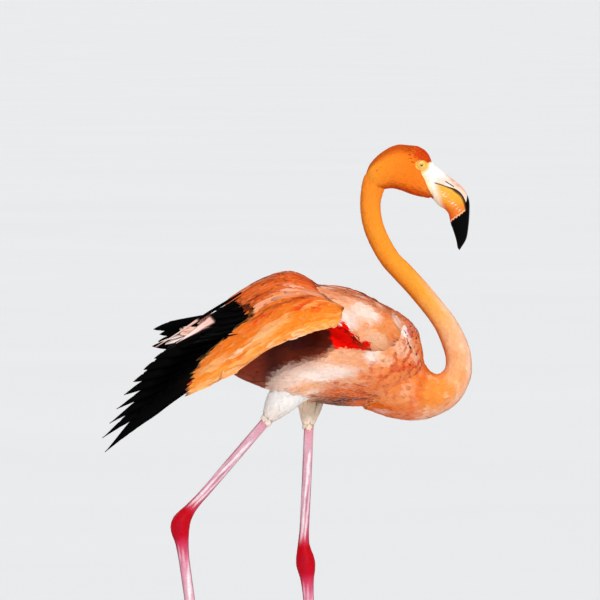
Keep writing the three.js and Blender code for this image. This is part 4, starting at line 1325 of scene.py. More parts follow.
def build_skin():
    """One skin for head, neck, trunk, thighs, wings and the bare legs and feet."""
    flesh = [neck_form(*net(90, 40, 0.02), COAT_DEPTH["neck"]), trunk_form(*net(70, 64), COAT_DEPTH["trunk"]),
             arm_form(*net(30, 32), COAT_DEPTH["arm"])]
    flesh += [thigh_form(leg, *net(40, 32, 0, 0.97), COAT_DEPTH["thigh"]) for leg in LEGS.values()]
    body, body_faces = remeshed([closed_tube(rings) for rings in flesh])
    share = neck_share(body)
    off = span((body - NECK.at(share))[:, [0, 2]])
    on_neck = (body[:, 0] < 200) & (body[:, 2] > 735) | (off < neck_deep(share)) & (share < 0.9)
    body_tint = painted(trunk_tint(body), (neck_tint(body), on_neck),
                        (thigh_tint(body), fall(body[:, 2], 560, 600) * (body[:, 0] < 60)))
    skull, skull_faces = skull_skin()
    pieces = [(body, body_faces, body_tint),
              (skull, skull_faces, mix(head_tint(skull), face_tint(skull), bare_face(skull))),
              wing_skin(right_face), wing_skin(left_face)]
    for side in (1, -1):
        lid, faces = lid_form(side)
        pieces.append((lid, faces, ramp_colour(lid[:, 2], (895, "fbc964"), (902, "fbc25c"), (909, "f3a045"))))
    first_leg = sum(len(place) for place, _, _ in pieces)
    pieces += [piece for leg in LEGS.values() for piece in leg_skin(leg)]
    points, groups = join_forms([piece[:2] for piece in pieces])
    skin = put_mesh(
        "skin", points, groups,
        [skin_material("Bare skin", 900.0, 0.55, 0.06), skin_material("Leg scales", 330.0, 0.45, 0.16)],
        {"Tint": np.concatenate([tint for _, _, tint in pieces])},
        face_material=np.concatenate([group[:, 0] >= first_leg for group in groups]))
    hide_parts("head", "neck_1", "neck_2", "neck_3", "neck_4", "neck_5", "trunk", "thigh_left",
                "thigh_right", "shank_left", "shank_right", "hock_left", "hock_right", "tarsus_left",
                "tarsus_right", "foot_left", "foot_right", "wing_right_coverts", "wing_left_coverts")


def face_tint(points):
    """Bare face: white lores, yellow round the eye, faint pink towards the bill."""
    x, _, z = points.T
    ring = np.hypot(x - EYE_PLACE[0], (z - EYE_PLACE[2]) * 1.05)
    return painted(
        ramp_colour(x, (172, "fdf0cf"), (184, "fffdf6"), (196, "fffaf2")),
        ("fdeeb0", 0.8 * fall(x - ramp(z, *FACE_LINE), 2, 9)), ("fbd068", fall(ring, 8.0, 13.5)),
        ("fbc692", 0.7 * fall(z, 856, 866)),
    )


def foot_tint(points):
    """Feet: rose, greyer towards the toes' ends and soles."""
    colour = ramp_colour(points[:, 2], (0, "c98f97"), (6, "dfa0ab"), (14, "e6aab8"))
    return mix(colour, "f3c6cf", 0.35 * ease(cloud(points, 9, 8), 0.1, 0.8))


def left_face(s, q, inset=0.0):
    """Both faces of the folded wing."""
    return wing_face(left_wing, 1, 9.0 * ramp(s, (0, 1), (0.6, 0.7), (1, 0.3)), 0.12, s, q, inset)


# ---- coats by region

def feather_head():
    """Tiny plumes of the head and nape, none on the bare face."""
    rng = np.random.default_rng(101)
    u, v = even_rows(skull_form, (0.02, 0.955), (0, 1), lambda u: 1.7 + 1.2 * u, lambda u: 1.6 + 0.9 * u, rng)
    place = skull_form(u, v)
    keep = ~bare_face(place) & ~in_neck(place, 1, 0.02)
    u, v = u[keep], v[keep]

    def tint(place, u, v, dice):
        near = np.maximum(spot(place, 162, 910, 8, 8, -40), spot(place, 115, 900, 5, 10, -60))
        colour = mix(head_tint(place), "b93a10", (dice < 0.13) & (near > 0.4))
        return colour, mix(colour, "ffb45c", 0.2)

    grow_coat(
        "head_feathers", "skull", skull_form, u, v, tint, feather_material("Head plumes", 8.0, 0.5, 0.0),
        rng, length=5.5 + 5.5 * u - 3 * ease(u, 0.88, 0.96), width=2.5 + 1.3 * u, depth=0.8, lift=0.16,
        stations="fine", stray=0.14, thick=0.16, cup=0.05, vary=0.04)


def feather_neck():
    """Small soft plumes down the neck, growing towards its root."""
    rng = np.random.default_rng(102)

    def size(u):
        return ramp(u, (0, 0), (0.5, 0.12), (0.72, 0.3), (0.85, 0.7), (1, 1))

    u, v = even_rows(neck_form, (0.012, 0.985), (0, 1), lambda u: 3.2 + 3.6 * size(u),
                     lambda u: 2.4 + 3.2 * size(u), rng)
    place = neck_form(u, v)
    x, y, z = place.T
    top, bottom, half = skull_lines(x)
    in_skull = ((z - (top + bottom) / 2) / (top - bottom) * 2) ** 2 + (y / half) ** 2 < 0.8
    keep = ~(in_skull & (x > 97) & (x < 188) & (u < 0.2)) & ~inside_trunk(place, -9)
    u, v = u[keep], v[keep]
    grown = size(u)

    def tint(place, u, v, dice):
        colour = neck_tint(place)
        return colour, painted(colour, ("ffc274", 0.25), ("f08040", 0.5 * ease(neck_share(place), 0.78, 0.9)))

    grow_coat(
        "neck_feathers", "neck", neck_form, u, v, tint, feather_material("Neck plumes", 12.0, 0.6, 0.0), rng,
        length=13 + 19 * grown, width=4.2 + 6 * grown, depth=1.8 + 1.8 * grown, lift=0.25 + 0.4 * grown,
        stations="small", stray=0.12, thick=0.22, vary=0.04)


def inside_trunk(points, margin):
    """Whether points lie inside the trunk's outline by more than a margin."""
    x = points[:, 0]
    top, bottom, half = trunk_lines(x)
    up = (points[:, 2] - (top + bottom) / 2) / ((top - bottom) / 2 + margin)
    return (up**2 + (points[:, 1] / np.maximum(half + margin, 1)) ** 2 < 1) & beside_trunk(x)


def feather_trunk():
    """Contour feathers of breast, flanks, back and belly, also over the arm and the tops of the thighs."""
    rng = np.random.default_rng(103)
    u, v = even_rows(body_form, (0.004, 0.985), (0, 1), lambda u: 4.8 + 1.7 * ease(u, 0.1, 0.5),
                     lambda u: 4.4 + 1.1 * ease(u, 0.1, 0.5), rng, 0.42)
    place = body_form(u, v)
    keep = ~in_neck(place, 9, 0.8)
    u, v, place = u[keep], v[keep], place[keep]
    back = ease(u, 0.1, 0.5)
    lean = 0.3 * ease(place[:, 2], 600, 690) * (1 - back) + spot(place, 4, 590, 44, 34, 0) * 0.75

    def tint(place, u, v, dice):
        colour = trunk_tint(place)
        breast = spot(place, 150, 595, 58, 46, 0) * (place[:, 2] < 640)
        return colour, painted(
            colour, ("fffaf6", 0.3 - 0.2 * ease(place[:, 2], 680, 705)), ("e9601f", 0.6 * breast),
            (colour, np.maximum(painted_wing_shadow(place), armpit(place))))

    grow_coat(
        "body_feathers", "trunk", body_form, u, v, tint, feather_material("Body feathers", 16.0, 0.75, 0.12),
        rng, lie=np.where(place[:, 1] > 0, lean, -lean), length=18 + 13 * ease(u, 0.06, 0.22) + 16 * back,
        width=7.4 + 2 * back, depth=4.2, lift=0.6, stations="broad", stray=0.2, bend=0.08, vary=0.045,
        ahead=0.12)


def inside_body(points, margin):
    """Whether points lie inside the body's outline, arm and thighs' tops included, by more than a margin."""
    x, y, z = points.T
    top, bottom, _ = trunk_lines(x)
    turn = np.arcsin(np.clip((z - (top + bottom) / 2) / ((top - bottom) / 2), -1, 1))
    v = np.where(y > 0, -turn, turn + np.pi) / (2 * np.pi)
    rim = np.abs(body_form((TRUNK_FRONT - x) / TRUNK_RUN, v)[:, 1])
    return (np.abs(y) < rim - margin) & (z > bottom + margin) & (z < top - margin) & beside_trunk(x)


def feather_thighs():
    """Short white plumes of both thighs, loose at the cuff."""
    rng = np.random.default_rng(104)
    material = feather_material("Thigh plumes", 14.0, 0.4, 0.0)

    def tint(place, u, v, dice):
        colour = thigh_tint(place)
        return colour, colour * 1.02

    for name, leg in LEGS.items():
        surface = partial(thigh_form, leg)
        u, v = even_rows(surface, (0.08, 0.97), (0, 1), lambda u: 3.8, lambda u: 3.6, rng)
        keep = ~inside_body(surface(u, v), 4)
        u, v = u[keep], v[keep]
        grow_coat(f"thigh_feathers_{name}", f"thigh_{name}", surface, u, v, tint, material, rng,
                  length=24 - 9 * u, width=5.4 - 1.2 * u, depth=3.0, lift=0.6, stations="small", stray=0.16,
                  thick=0.25, cup=0.05, vary=0.03)


def feather_right_wing():
    """Coverts of the half-open wing: rows over its upper face, round its outer edge and underneath."""
    rng = np.random.default_rng(105)
    lines = right_wing(np.linspace(0, 1, 40)[:, None], np.linspace(0, 1, 21)[None, :])
    runs = span(np.diff(lines, axis=0)).sum(axis=0)

    def run_at(t):
        return np.interp(t, np.linspace(0, 1, 21), runs)

    def striped(u, t):
        return fall(t, 0.58, 0.7) * ease(u, 0.3, 0.5)

    u, q = even_rows(right_face, (0.004, 0.97), (0.0, 2.0), lambda u: 5.0 + 3.5 * u, lambda u: 5.0 + 0.8 * u,
                     rng, 0.2)
    t = np.minimum(q, 2 - q)
    length = 26 + 46 * ease(u, 0.05, 0.6)
    room = (cover_reach(t) - 0.02 - u) * run_at(t)
    keep = (room > 0.75 * length) & (u > ramp(t, *WING_FRONT) - 0.01)
    u, q, length = u[keep], q[keep], np.minimum(length, room)[keep]
    edge_q = np.concatenate([np.arange(*part) for part in (
        (0.02, 0.6, 0.016), (0.6, 0.75, 0.008), (0.75, 1.25, 0.02), (1.25, 1.4, 0.008), (1.4, 2.0, 0.016))])
    edge_t = np.minimum(edge_q, 2 - edge_q)
    edge_length = 62 * rng.uniform(0.85, 1.1, len(edge_q))
    u = np.append(u, cover_reach(edge_t) - edge_length / run_at(edge_t))
    q, length = np.append(q, edge_q), np.append(length, edge_length)
    width = 7 + 0.09 * length - 4 * striped(u, np.minimum(q, 2 - q))

    def tint(place, u, v, dice):
        t = np.minimum(v, 2 - v)
        under = mix(even_colour("b01407", u), "f0571c", dice**2)
        colour = mix(right_wing_tint(place, u, t), under, v > 1.03)
        return colour, painted(colour, ("ffbe72", 0.25), ("7a2410", 0.85 * striped(u, t) * (dice < 0.6)))

    grow_coat("right_wing_coverts", "right_wing", right_face, u, q, tint,
              feather_material("Wing coverts", 22.0, 0.8, 0.16), rng, length=length,
              width=np.minimum(width, 5 + 340 * np.abs(1 - q)), depth=0.36 * right_depth(u),
              lift=0.4 + 0.006 * length, stations="long", stray=0.06, bend=0.03, ahead=0.3,
              sign=-1, turn=2.0)


def feather_left_wing():
    """Coverts and folded inner feathers of the wing that lies on the body."""
    rng = np.random.default_rng(106)
    u, q = even_rows(left_face, (0.004, 0.97), (0.0, 1.06), lambda u: 5.2 + 3.2 * u, lambda u: 5.2 + 0.8 * u,
                     rng, 0.2)
    length = np.minimum(18 + 46 * ease(u, 0.15, 0.8), (1.03 - u) * 270.0)
    keep = length > 14
    u, q, length = u[keep], q[keep], length[keep]

    def tint(place, u, v, dice):
        colour = left_wing_tint(place, u, np.minimum(v, 2 - v))
        return colour, mix(colour, "ffe0c4", 0.4)

    grow_coat("left_wing_coverts", "left_wing", left_face, u, q, tint,
              feather_material("Folded coverts", 22.0, 0.8, 0.16), rng, length=length,
              width=7 + 0.1 * length, depth=2.2, lift=0.4 + 0.008 * length, stations="long", stray=0.07,
              bend=0.03, vary=0.06, ahead=0.3, turn=1.1)


def feather_arm():
    """Feathers of the upper arm: red at the armpit, maroon painted shade in the hollow under the half-open
    wing.
    """
    rng = np.random.default_rng(107)
    u, v = even_rows(arm_form, (0.05, 0.66), (0, 1), lambda u: 5.5, lambda u: 5.5, rng)
    keep = ~inside_body(arm_form(u, v), 2)
    u, v = u[keep], v[keep]

    def tint(place, u, v, dice):
        colour = trunk_tint(place)
        return colour, mix(colour, "fff0e4", 0.2 * (1 - np.maximum(painted_wing_shadow(place), armpit(place))))

    grow_coat("arm_feathers", "arm", arm_form, u, v, tint, feather_material("Arm feathers", 16.0, 0.7, 0.1),
              rng, length=30.0, width=11.0, depth=3.5, lift=0.7, stations="broad", stray=0.14)


# ---- flight feathers

# Fans of long feathers: lines of roots and tips, count, width, sideways bow, how far the roots sink along Y,
# and how far off the half-open wing's outer face they lie, 0 where they don't lie on it
RIGHT_PRIMARIES = {
    "roots": [(-142, -191, 606), (-112, -180, 624), (-92, -166, 646), (-70, -152, 668)],
    "tips": [
        (-279, -198, 495), (-285, -196, 502), (-284, -193, 512), (-268, -187, 545), (-251, -180, 578),
        (-227, -172, 609), (-209, -163, 628), (-193, -153, 641),
    ],
    "count": 9, "width": 26.0, "bow": 7.0, "sink": 5.0, "bed": 5.0,
}
RIGHT_SECONDARIES = {
    "roots": [(-66, -150, 672), (-62, -128, 688), (-72, -106, 706)],
    "tips": [(-186, -148, 642), (-176, -130, 648), (-150, -112, 670), (-123, -94, 694)],
    "count": 6, "width": 26.0, "bow": 0.0, "sink": 5.0, "bed": 4.0,
}
RIGHT_LEAVES = {
    "roots": [(-72, -119, 717), (-84, -120, 720)], "tips": [(-178, -155, 649), (-208, -153, 643)],
    "count": 2, "width": np.array([[16.0], [5.0]]), "bow": 0.0, "sink": 0.0, "bed": 5.0,
}
LEFT_PRIMARIES = {
    "roots": [(-110, 42, 680), (-116, 46, 660), (-118, 46, 648)],
    "tips": [(-213, 38, 662), (-204, 40, 654), (-206, 43, 645), (-215, 46, 637)],
    "count": 4, "width": 17.0, "bow": 0.0, "sink": -2.0, "bed": 0.0,
}
TAIL = {
    "roots": [(-118, 10, 668), (-116, 0, 670), (-118, -10, 668)],
    "tips": [(-186, 26, 638), (-200, 12, 644), (-204, 0, 646), (-200, -12, 644), (-186, -26, 638)],
    "count": 6, "width": 16.0, "bow": 0.0, "sink": 0.0, "bed": 0.0,
}
QUILL_ROWS = 64
FAN_TILT = np.radians(4)  # of each feather about its own length, against its neighbours


def bed_terms(x, z):
    """Powers of x and z up to the third, of places near the half-open wing."""
    a, b = x / 100, (z - 640) / 100
    return np.stack([a**i * b**k for i in range(4) for k in range(4 - i)], axis=-1)


def wing_bed(x, z):
    """Y of the half-open wing's outer face at x and z, by the cubic in both that lies nearest to it."""
    s, t = np.meshgrid(np.linspace(0.6, 1.08, 40), np.linspace(0.4, 1, 40))
    place = right_wing(s, t).reshape(-1, 3)
    share = np.linalg.lstsq(bed_terms(place[:, 0], place[:, 2]), place[:, 1], rcond=None)[0]
    return bed_terms(x, z) @ share


def quill_points(fan, narrow):
    """Long feathers of a fan: a blade each, its shaft a raised rib, its edge split here and there.

    The middle line bows sideways in half a sine wave; the half width is a ramp of t down to a point."""
    count = fan["count"]
    share = np.linspace(0, 1, count)
    root_line, tip_line = Line(fan["roots"]), Line(fan["tips"])
    root, tip = root_line.at(share), tip_line.at(share)
    before, after = np.maximum(share - 0.1, 0), np.minimum(share + 0.1, 1)
    across = root_line.at(after) - root_line.at(before) + tip_line.at(after) - tip_line.at(before)
    along = unit(tip - root)
    across = unit(across - along * (across * along).sum(axis=-1, keepdims=True))
    across = across * np.cos(FAN_TILT) + np.cross(along, across) * np.sin(FAN_TILT)
    up = np.cross(across, along)[:, None]
    across = across[:, None]
    t = np.linspace(0, 1, QUILL_ROWS)
    rng = np.random.default_rng(count)
    half = ramp(t, (0, 0.7), (0.25, 1), (0.7, 0.95), (0.86, 0.62), (0.95, 0.3),
                (1, 0.03)) * np.ones((count, 1))
    point = ramp(t, (0, 1), (0.45, 1), (0.7, 0.62), (0.9, 0.4), (1, 0.3))
    half = half * (1 - fall(share, *narrow)[:, None] * (1 - point)) * fan["width"] / 2

    def frayed():
        cut = np.zeros_like(half)
        for _ in range(3):
            gap = (t - rng.uniform(0.45, 0.93, (count, 1))) / 0.012
            cut += np.where(gap > 0, np.exp(-gap), np.exp(gap * 3)) * rng.uniform(0.02, 0.22, (count, 1))
        return half * (1 - np.clip(cut, 0, 0.4))

    left, right = frayed(), frayed()
    middle = mix(root[:, None], tip[:, None], t) + across * (fan["bow"] * np.sin(np.pi * t))[:, None]
    if fan["bed"]:
        bed = wing_bed(middle[..., 0], middle[..., 2]) + fan["bed"]
        middle[..., 1] += (bed - middle[..., 1]) * fall(t, 0.35, 0.75)
    middle[..., 1] += fan["sink"] * fall(t, 0.0, 0.45)
    rib, web = 0.75 * (1 - 0.8 * t), 0.45 * (1 - 0.6 * t)
    outline = (
        (left, -0.05 * left), (left * 0.5, web), (0.7, 0.12 + web), (0, web + rib), (-0.7, 0.12 + web),
        (-right * 0.5, web), (-right, -0.05 * right), (0, -0.1 - web - 0.6 * rib),
    )
    return np.stack([middle + across * (side + 0 * half)[..., None] + up * (rise + 0 * half)[..., None]
                     for side, rise in outline], axis=2)


def quills(name, fan, material, tint, node, narrow=(-2, -1)):
    """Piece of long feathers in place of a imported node; each takes a strip of the unwrap."""
    rings = quill_points(fan, narrow)
    number, rows = rings.shape[:2]
    side, t = np.meshgrid([0, 0.25, 0.46, 0.5, 0.54, 0.75, 1, 0.5], np.linspace(0, 1, rows))
    side, t = np.append(side, [0.5, 0.5]), np.append(t, [0, 1])
    points, faces = join_forms([closed_tube(ring) for ring in rings])
    colour, fringe = tint(np.tile(t, number))
    strips = [np.stack([(i + 0.05 + 0.9 * side) / number, 0.02 + 0.96 * t], axis=-1) for i in range(number)]
    piece = put_mesh(
        name, points, faces, [material], {"Tint": colour, "Fringe": fringe},
        {"Vane": np.tile(np.stack([side, t], axis=-1), (number, 1)), "OFBake": np.concatenate(strips)})
    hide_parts(node)


def black_quill(t):
    """Black remex, its root a little brown."""
    return mix(even_colour(chosen("plumage").flight, t), "1c0e0c",
               0.5 * fall(t, 0.0, 0.3)), even_colour("070505", t)


def leaf_quill(t):
    """Inner remex: its bare half pinkish white with a rusty edge, black where its neighbours lie on it."""
    colour, fringe = black_quill(t)
    pale = ease(t, 0.5, 0.53)
    colour = mix(colour, ramp_colour(t, (0.5, "f2bfb2"), (0.7, "f9d6cc"), (1, "fff4ee")), pale)
    return colour, mix(fringe, "b34a2c", pale)


def tail_quill(t):
    """Tail feather: rose-white with darker ends."""
    return ramp_colour(t, (0, "f6c4b2"), (0.5, "fbe4dc"), (1, "fff8f4")), even_colour("e9a18c", t)


def feather_flight():
    """Flight feathers of both wings and the tail."""
    dark = feather_material("Flight feathers", 90.0, 0.35, 0.3, roughness=0.6, specular=0.02)
    light = feather_material("Tail feathers", 60.0, 0.6, 0.2)
    quills("right_primaries", RIGHT_PRIMARIES, dark, black_quill, "wing_right_primaries",
           (0.3, 0.75))
    quills("right_secondaries", RIGHT_SECONDARIES, dark, black_quill,
           "wing_right_secondaries", (1.5, 2.0))
    quills("right_leaves", RIGHT_LEAVES, light, leaf_quill, "wing_right_secondaries",
           (1.5, 2.0))
    quills("left_primaries", LEFT_PRIMARIES, dark, black_quill, "wing_left_primaries")
    quills("tail_feathers", TAIL, light, tail_quill, "tail")


# ---- bill, eyes, claws

# The bill in the side view, X and Z at ten even stations: upper line, mouth, lower line
BILL_RIDGE = [
    (191, 905.5), (204.5, 894.5), (219, 883), (230.5, 874), (239, 865), (245, 851), (245.8, 834),
    (244.3, 813), (241, 794.5), (231.3, 778.2),
]
BILL_MOUTH = [
    (191, 877), (204.5, 873.5), (216, 869), (226, 864.5), (234, 857), (239.3, 845), (241.8, 831),
    (241.2, 812), (238.2, 794.5), (230.4, 779.2),
]
BILL_EDGE = [
    (191, 854.5), (201, 843), (209.5, 838), (215, 831.5), (217, 823.5), (218.7, 816), (221, 810),
    (223.7, 802), (226.6, 792), (228.5, 781.6),
]
# Half width of each half of the bill at those stations
UPPER_HALF = [13.3, 12.4, 11.4, 10.7, 10, 9.2, 8.1, 6.7, 4.9, 1.4]
LOWER_HALF = [13.3, 13.2, 12.9, 12.4, 11.6, 10.6, 9.3, 7.6, 5.2, 1.4]
NOSTRIL = ((211.0, 878.0), (222.6, 870.7))  # its two ends in the bill's middle plane


STATIONS_RUN = 400  # mm given to the stations' own axis: long, so that they stay even along a line


def station_line(values, share):
    """Values given at even stations, smooth between them."""
    knots = np.linspace(0, 1, len(values))
    values = np.array(values, float)
    if values.ndim == 1:
        return ramp(share, *zip(knots, values))
    line = Line(np.column_stack([knots * STATIONS_RUN, values]))
    place = line.knots / line.run
    return line.at(np.interp(share, knots, place))[..., 1:]


def segment_gap(x, z, ends):
    """Distance in the side view from a straight stretch, and the share along it."""
    (ax, az), (bx, bz) = ends
    reach = np.array([bx - ax, bz - az])
    share = ((x - ax) * reach[0] + (z - az) * reach[1]) / (reach**2).sum()
    near = np.clip(share, 0, 1)
    return np.hypot(x - ax - near * reach[0], z - az - near * reach[1]), share


def bill_half(round_line, halves, upper):
    """One half of the bill: flat along the mouth, round over its other line, with lip, groove, nostril."""
    share = np.linspace(0, 1, 230)[:, None]
    lines = (BILL_MOUTH, round_line, BILL_RIDGE)
    mouth, ridge, top = (station_line(line, share[:, 0])[:, None] for line in lines)
    half = station_line(halves, share[:, 0])[:, None]
    mouth = mouth + (0 if upper else 0.05) * unit(mouth - top)
    angle = np.pi * np.linspace(0, 1, 110)[None, :]
    rise = np.sin(angle) ** 0.8
    rib = 0.005 * np.exp(-((angle - np.pi / 2) / 0.22) ** 2) * upper
    lip = 0.021 * np.exp(-((rise - 0.1) / 0.09) ** 2) * fall(share, 0.85, 0.98)
    side = half * np.cos(angle) * (1 + lip)
    flat = mouth + (ridge - mouth) * (rise * (1 + rib))[..., None]
    if upper:
        away = segment_gap(flat[..., 0], flat[..., 1], NOSTRIL)[0]
        dent = 0.7 * np.exp(-(away / 2.2) ** 2) + 1.3 * np.exp(-(away / 0.55) ** 2)
        side = side - np.sign(side) * np.minimum(dent, np.abs(side) * 0.6)
    cross = np.linspace(1, -1, 28)[None, 1:-1]
    base = mouth + unit(ridge - mouth) * (0.6 * (1 - cross**2) * fall(share, 0.8, 1.0))[..., None]
    rings = [coordinates(flat[..., 0], side, flat[..., 1]),
             coordinates(base[..., 0], -half * cross, base[..., 1])]
    return np.concatenate(rings, axis=1), rise, share


def upper_bill_tint(points):
    """Upper bill: bone white, rosy along the ridge, black beyond the bend, painted shade in the nostril slit.
    """
    x, _, z = points.T
    ridge = segment_gap(x, z, ((191.0, 905.5), (239.0, 865.0)))[0]
    rosy = np.exp(-(ridge / 3.6) ** 2) * ease(x, 205, 222)
    line = ramp(x, (225, 846), (236, 842), (241, 850), (243, 861), (246, 863))
    return painted(
        ramp_colour(x, (190, "fffcf4"), (206, chosen("face").bill_pale), (222, "f3dccb"), (238, "f2d6c4")),
        ("ee8f5e", 0.85 * rosy * (0.6 + 0.4 * cloud(points, 9, 4))),
        ("f3c0a2", 0.5 * fall(np.hypot(x - 205, (z - 878) * 1.6), 4, 16)),
        # painted shade in the nostril slit
        ("150a08", fall(segment_gap(x, z, NOSTRIL)[0], 0.3, 0.9)),
        (chosen("face").bill_black, fall(z - line, -1.2, 0.8)),
    )


def lower_bill_tint(points):
    """Lower bill: pale at its root, orange over the bulge with pale flecks of painted highlight, black at the
    end.
    """
    x, _, z = points.T
    deep = segment_gap(x, z, ((201.0, 843.0), (217.0, 822.0)))[0]
    highlight_fleck = np.exp(-(segment_gap(x, z, ((206.0, 862.0), (230.0, 838.0)))[0] / 3.0) ** 2)
    rise = z - (820.7 + (x - 220.4) * 14.3 / 18.2 + 1.4 * cloud(points, 7, 12))
    return painted(
        ramp_colour(z, (820, "ec6c28"), (838, "f4852e"), (852, chosen("face").bill_orange), (866, "fcb544")),
        ("dd4f1c", 0.7 * fall(deep, 2, 13)), ("fde9cc", fall(x + 0.25 * (z - 855), 197, 209)),
        # the pale flecks along the bulge are a painted highlight
        ("fffaf2", fall(x, 190, 199)), ("fff0cf", 0.85 * highlight_fleck * ease(cloud(points, 4.2, 9), 0.15, 0.5)),
        ("f7dcae", 0.8 * ease(rise, 0, 1.2) * fall(rise, 1.5, 3.6)),
        (chosen("face").bill_black, fall(rise, -0.6, 0.7)),
    )


def build_bill():
    """Both halves of the bill, a black line along the lip of each: painted shade of the gap between them."""
    material = horn_material("Bill horn", chosen("face").bill_rough, 0.0, 0.05)
    for name, slot, line, halves, tint in (("upper", "pale", BILL_RIDGE, UPPER_HALF, upper_bill_tint),
                                           ("lower", "orange", BILL_EDGE, LOWER_HALF, lower_bill_tint)):
        rings, rise, share = bill_half(line, halves, name == "upper")
        points, faces = closed_tube(rings, flip=name == "lower")
        reach = station_line(line, share[:, 0]) - station_line(BILL_MOUTH, share[:, 0])
        thick = rise * span(reach)[:, None]
        lip = fall(thick - 0.4 - 1.8 * ease(share, 0.1, 0.35), -0.3, 0.3)
        lip, inner = (np.append(np.concatenate([first + 0 * thick, np.full((len(rings), 26), last)], axis=1),
                                [0, 0]) for first, last in ((lip, 0.0), (0.0, 1.0)))
        # painted shade: a black line along the lip for the gap between the halves, and dark inner faces
        colour = painted(tint(points), ("080404", 0.95 * lip * ease(points[:, 0], 193, 196)),
                         ("3a1a18", inner))
        piece = put_mesh(f"bill_{name}_half", points, faces, [material], {"Tint": colour})
        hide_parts(f"bill_{name}")


def eye_tint(across, up):
    """Eye by place on its front: black pupil, amber iris with fine rays, brown rim, horn-dark back."""
    reach = np.hypot(across, up)
    rays = np.sin(np.arctan2(up, across) * 34) * 0.5 + 0.5
    pupil = chosen("face").pupil / MM
    return painted(
        ramp_colour(reach, (1.4, "d87410"), (2.2, "efac2c"), (4.4, chosen("face").iris), (6.2, "f3b13c"),
                    (7.4, "8a4413")),
        ("ffe694", 0.25 * rays * ease(reach, 2, 4) * fall(reach, 5, 6.4)),
        ("020101", fall(reach, pupil - 0.1, pupil + 0.15)),
    )


def build_eyes():
    """Both eyeballs with a swelling cornea."""
    material, tree, shader = start_material("Eye", 0.06, 0.6, coat=1.0)
    shader.inputs["Coat Roughness"].default_value = 0.02
    mottle = use_group(tree, "Mottle", Place=own_place(tree), Scale=700.0, Low=0.93, High=1.05)
    shade_colour(tree, shader, attribute(tree, "Tint"), mottle["Shade"])
    theta = np.linspace(0.01, np.pi - 0.01, 120)[:, None]
    phi = 2 * np.pi * np.arange(120)[None, :] / 120
    radius = EYE_RADIUS + 0.35 * np.maximum(1 - (theta / 0.6) ** 2, 0)
    local = coordinates(radius * np.sin(theta) * np.cos(phi), radius * np.cos(theta),
                        radius * np.sin(theta) * np.sin(phi))
    x, y, z = np.concatenate([local.reshape(-1, 3), [[0, EYE_RADIUS, 0], [0, -EYE_RADIUS, 0]]]).T
    colour = mix(eye_tint(x, z), "3a1c10", y < 0)
    for side, name in ((1, "left"), (-1, "right")):
        points, faces = closed_tube((local + EYE_PLACE) * [1, side, 1], flip=side > 0)
        piece = put_mesh(f"eyeball_{name}", points, faces, [material], {"Tint": colour})
        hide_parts(f"eye_{name}")


def claw_form(leg, name):
    """Claw: carries a toe's line on and curves down to a blunt point just over the floor."""
    line = toe_line(leg, name)
    hind = name == "hind"
    tip = line.at(1.0)
    along = unit(tip - line.at(0.97))
    width = TOE_RADIUS * 0.5 * (0.5 if hind else 0.85)
    root, end = tip - along * 1.5, tip + along * 9.0 * (0.6 if hind else 1.0)
    end[2] = max(tip[2] - 2, 0.9)
    curve = Line([root, root + (end - root) * 0.6 + [0, 0, 0.6], end])
    u, v = net(24, 20)
    half = ramp(u, (0, width * 1.02), (0.55, width * 0.75), (0.9, width * 0.3), (1, 0.25))
    return closed_tube(over_floor(tube(curve, u, v, half * 0.9, half), 0.15))


def build_claws():
    """Claws of both feet."""
    toes = [(side, name) for side in LEGS for name in TOE_LENGTH]
    points, faces = join_forms([claw_form(LEGS[side], name) for side, name in toes])
    shade = ramp_colour(cloud(points, 6, 2), (-1, "2a1d1b"), (1, "51403b"))
    claws = put_mesh("claws", points, faces, [horn_material("Claw horn", 0.35, 0.2)],
                     {"Tint": shade})
    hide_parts(*[f"claw_{side}_{name}" for side, name in toes])


# ---- stage

FLOOR_RADIUS = 600.0  # in metres
VIEW_WIDTH = 0.87  # of the frame at the bird, in metres
VIEW_LIFT = np.radians(2)
VIEW_HEIGHT = 706.0  # height of the middle of the frame over the floor, in the bird's millimetres


def place_object(name, data, way=None, place=(0, 0, 0)):
    """New object in the scene, turned to look along a way."""
    thing = bpy.data.objects.new(name, data)
    thing.location = place
    if way is not None:
        thing.rotation_euler = Vector(way).to_track_quat("-Z", "Y").to_euler()
    bpy.context.scene.collection.objects.link(thing)
    return thing


def build_stage():
    """Pale floor, soft lights and the camera."""
    floor = bpy.data.meshes.new("floor")
    turn = 2 * np.pi * np.arange(96) / 96
    rim = coordinates(FLOOR_RADIUS * np.cos(turn), FLOOR_RADIUS * np.sin(turn), 0)
    floor.from_pydata(rim.tolist(), [], [list(range(96))])
    place_object("floor", floor)
    material, tree, shader = start_material("Pale floor", 0.9, 0.1)
    mottle = use_group(tree, "Mottle", Place=own_place(tree), Scale=0.6, Low=0.985, High=1.01)
    shade_colour(tree, shader, [chosen("stage").floor] * 3 + [1], mottle["Shade"])
    floor.materials.append(material)

    scene = bpy.context.scene
    scene.view_settings.view_transform = "Standard"
    scene.world = bpy.data.worlds.new("Studio")
    scene.world.use_nodes = True
    sky = scene.world.node_tree.nodes["Background"].inputs
    sky[0].default_value = (0.93, 0.96, 1.0, 1)
    sky[1].default_value = 0.36
    suns = (("key", (-0.3, 1.0, -0.5), chosen("stage").light, 10), ("top", (0.1, 0.25, -1.0), 1.1, 50),
            ("back", (0.3, -1.0, -0.5), 0.8, 40))
    for name, way, strength, angle in suns:
        sun = bpy.data.lights.new(name, "SUN")
        sun.energy = strength
        sun.angle = np.radians(angle)
        place_object(name, sun, way)

    lens = bpy.data.cameras.new("view")
    lens.sensor_width = 36
    distance = chosen("stage").distance
    lens.lens = lens.sensor_width * distance / VIEW_WIDTH
    lens.clip_end = 2000
    aim = (np.array([0, 0, VIEW_HEIGHT]) + SHIFT) * MM
    aim[1] = SHIFT[1] * MM
    way = np.array([0, np.cos(VIEW_LIFT), -np.sin(VIEW_LIFT)])
    scene.camera = place_object("view", lens, way, aim - distance * way)


# ---- operators, panel and the run

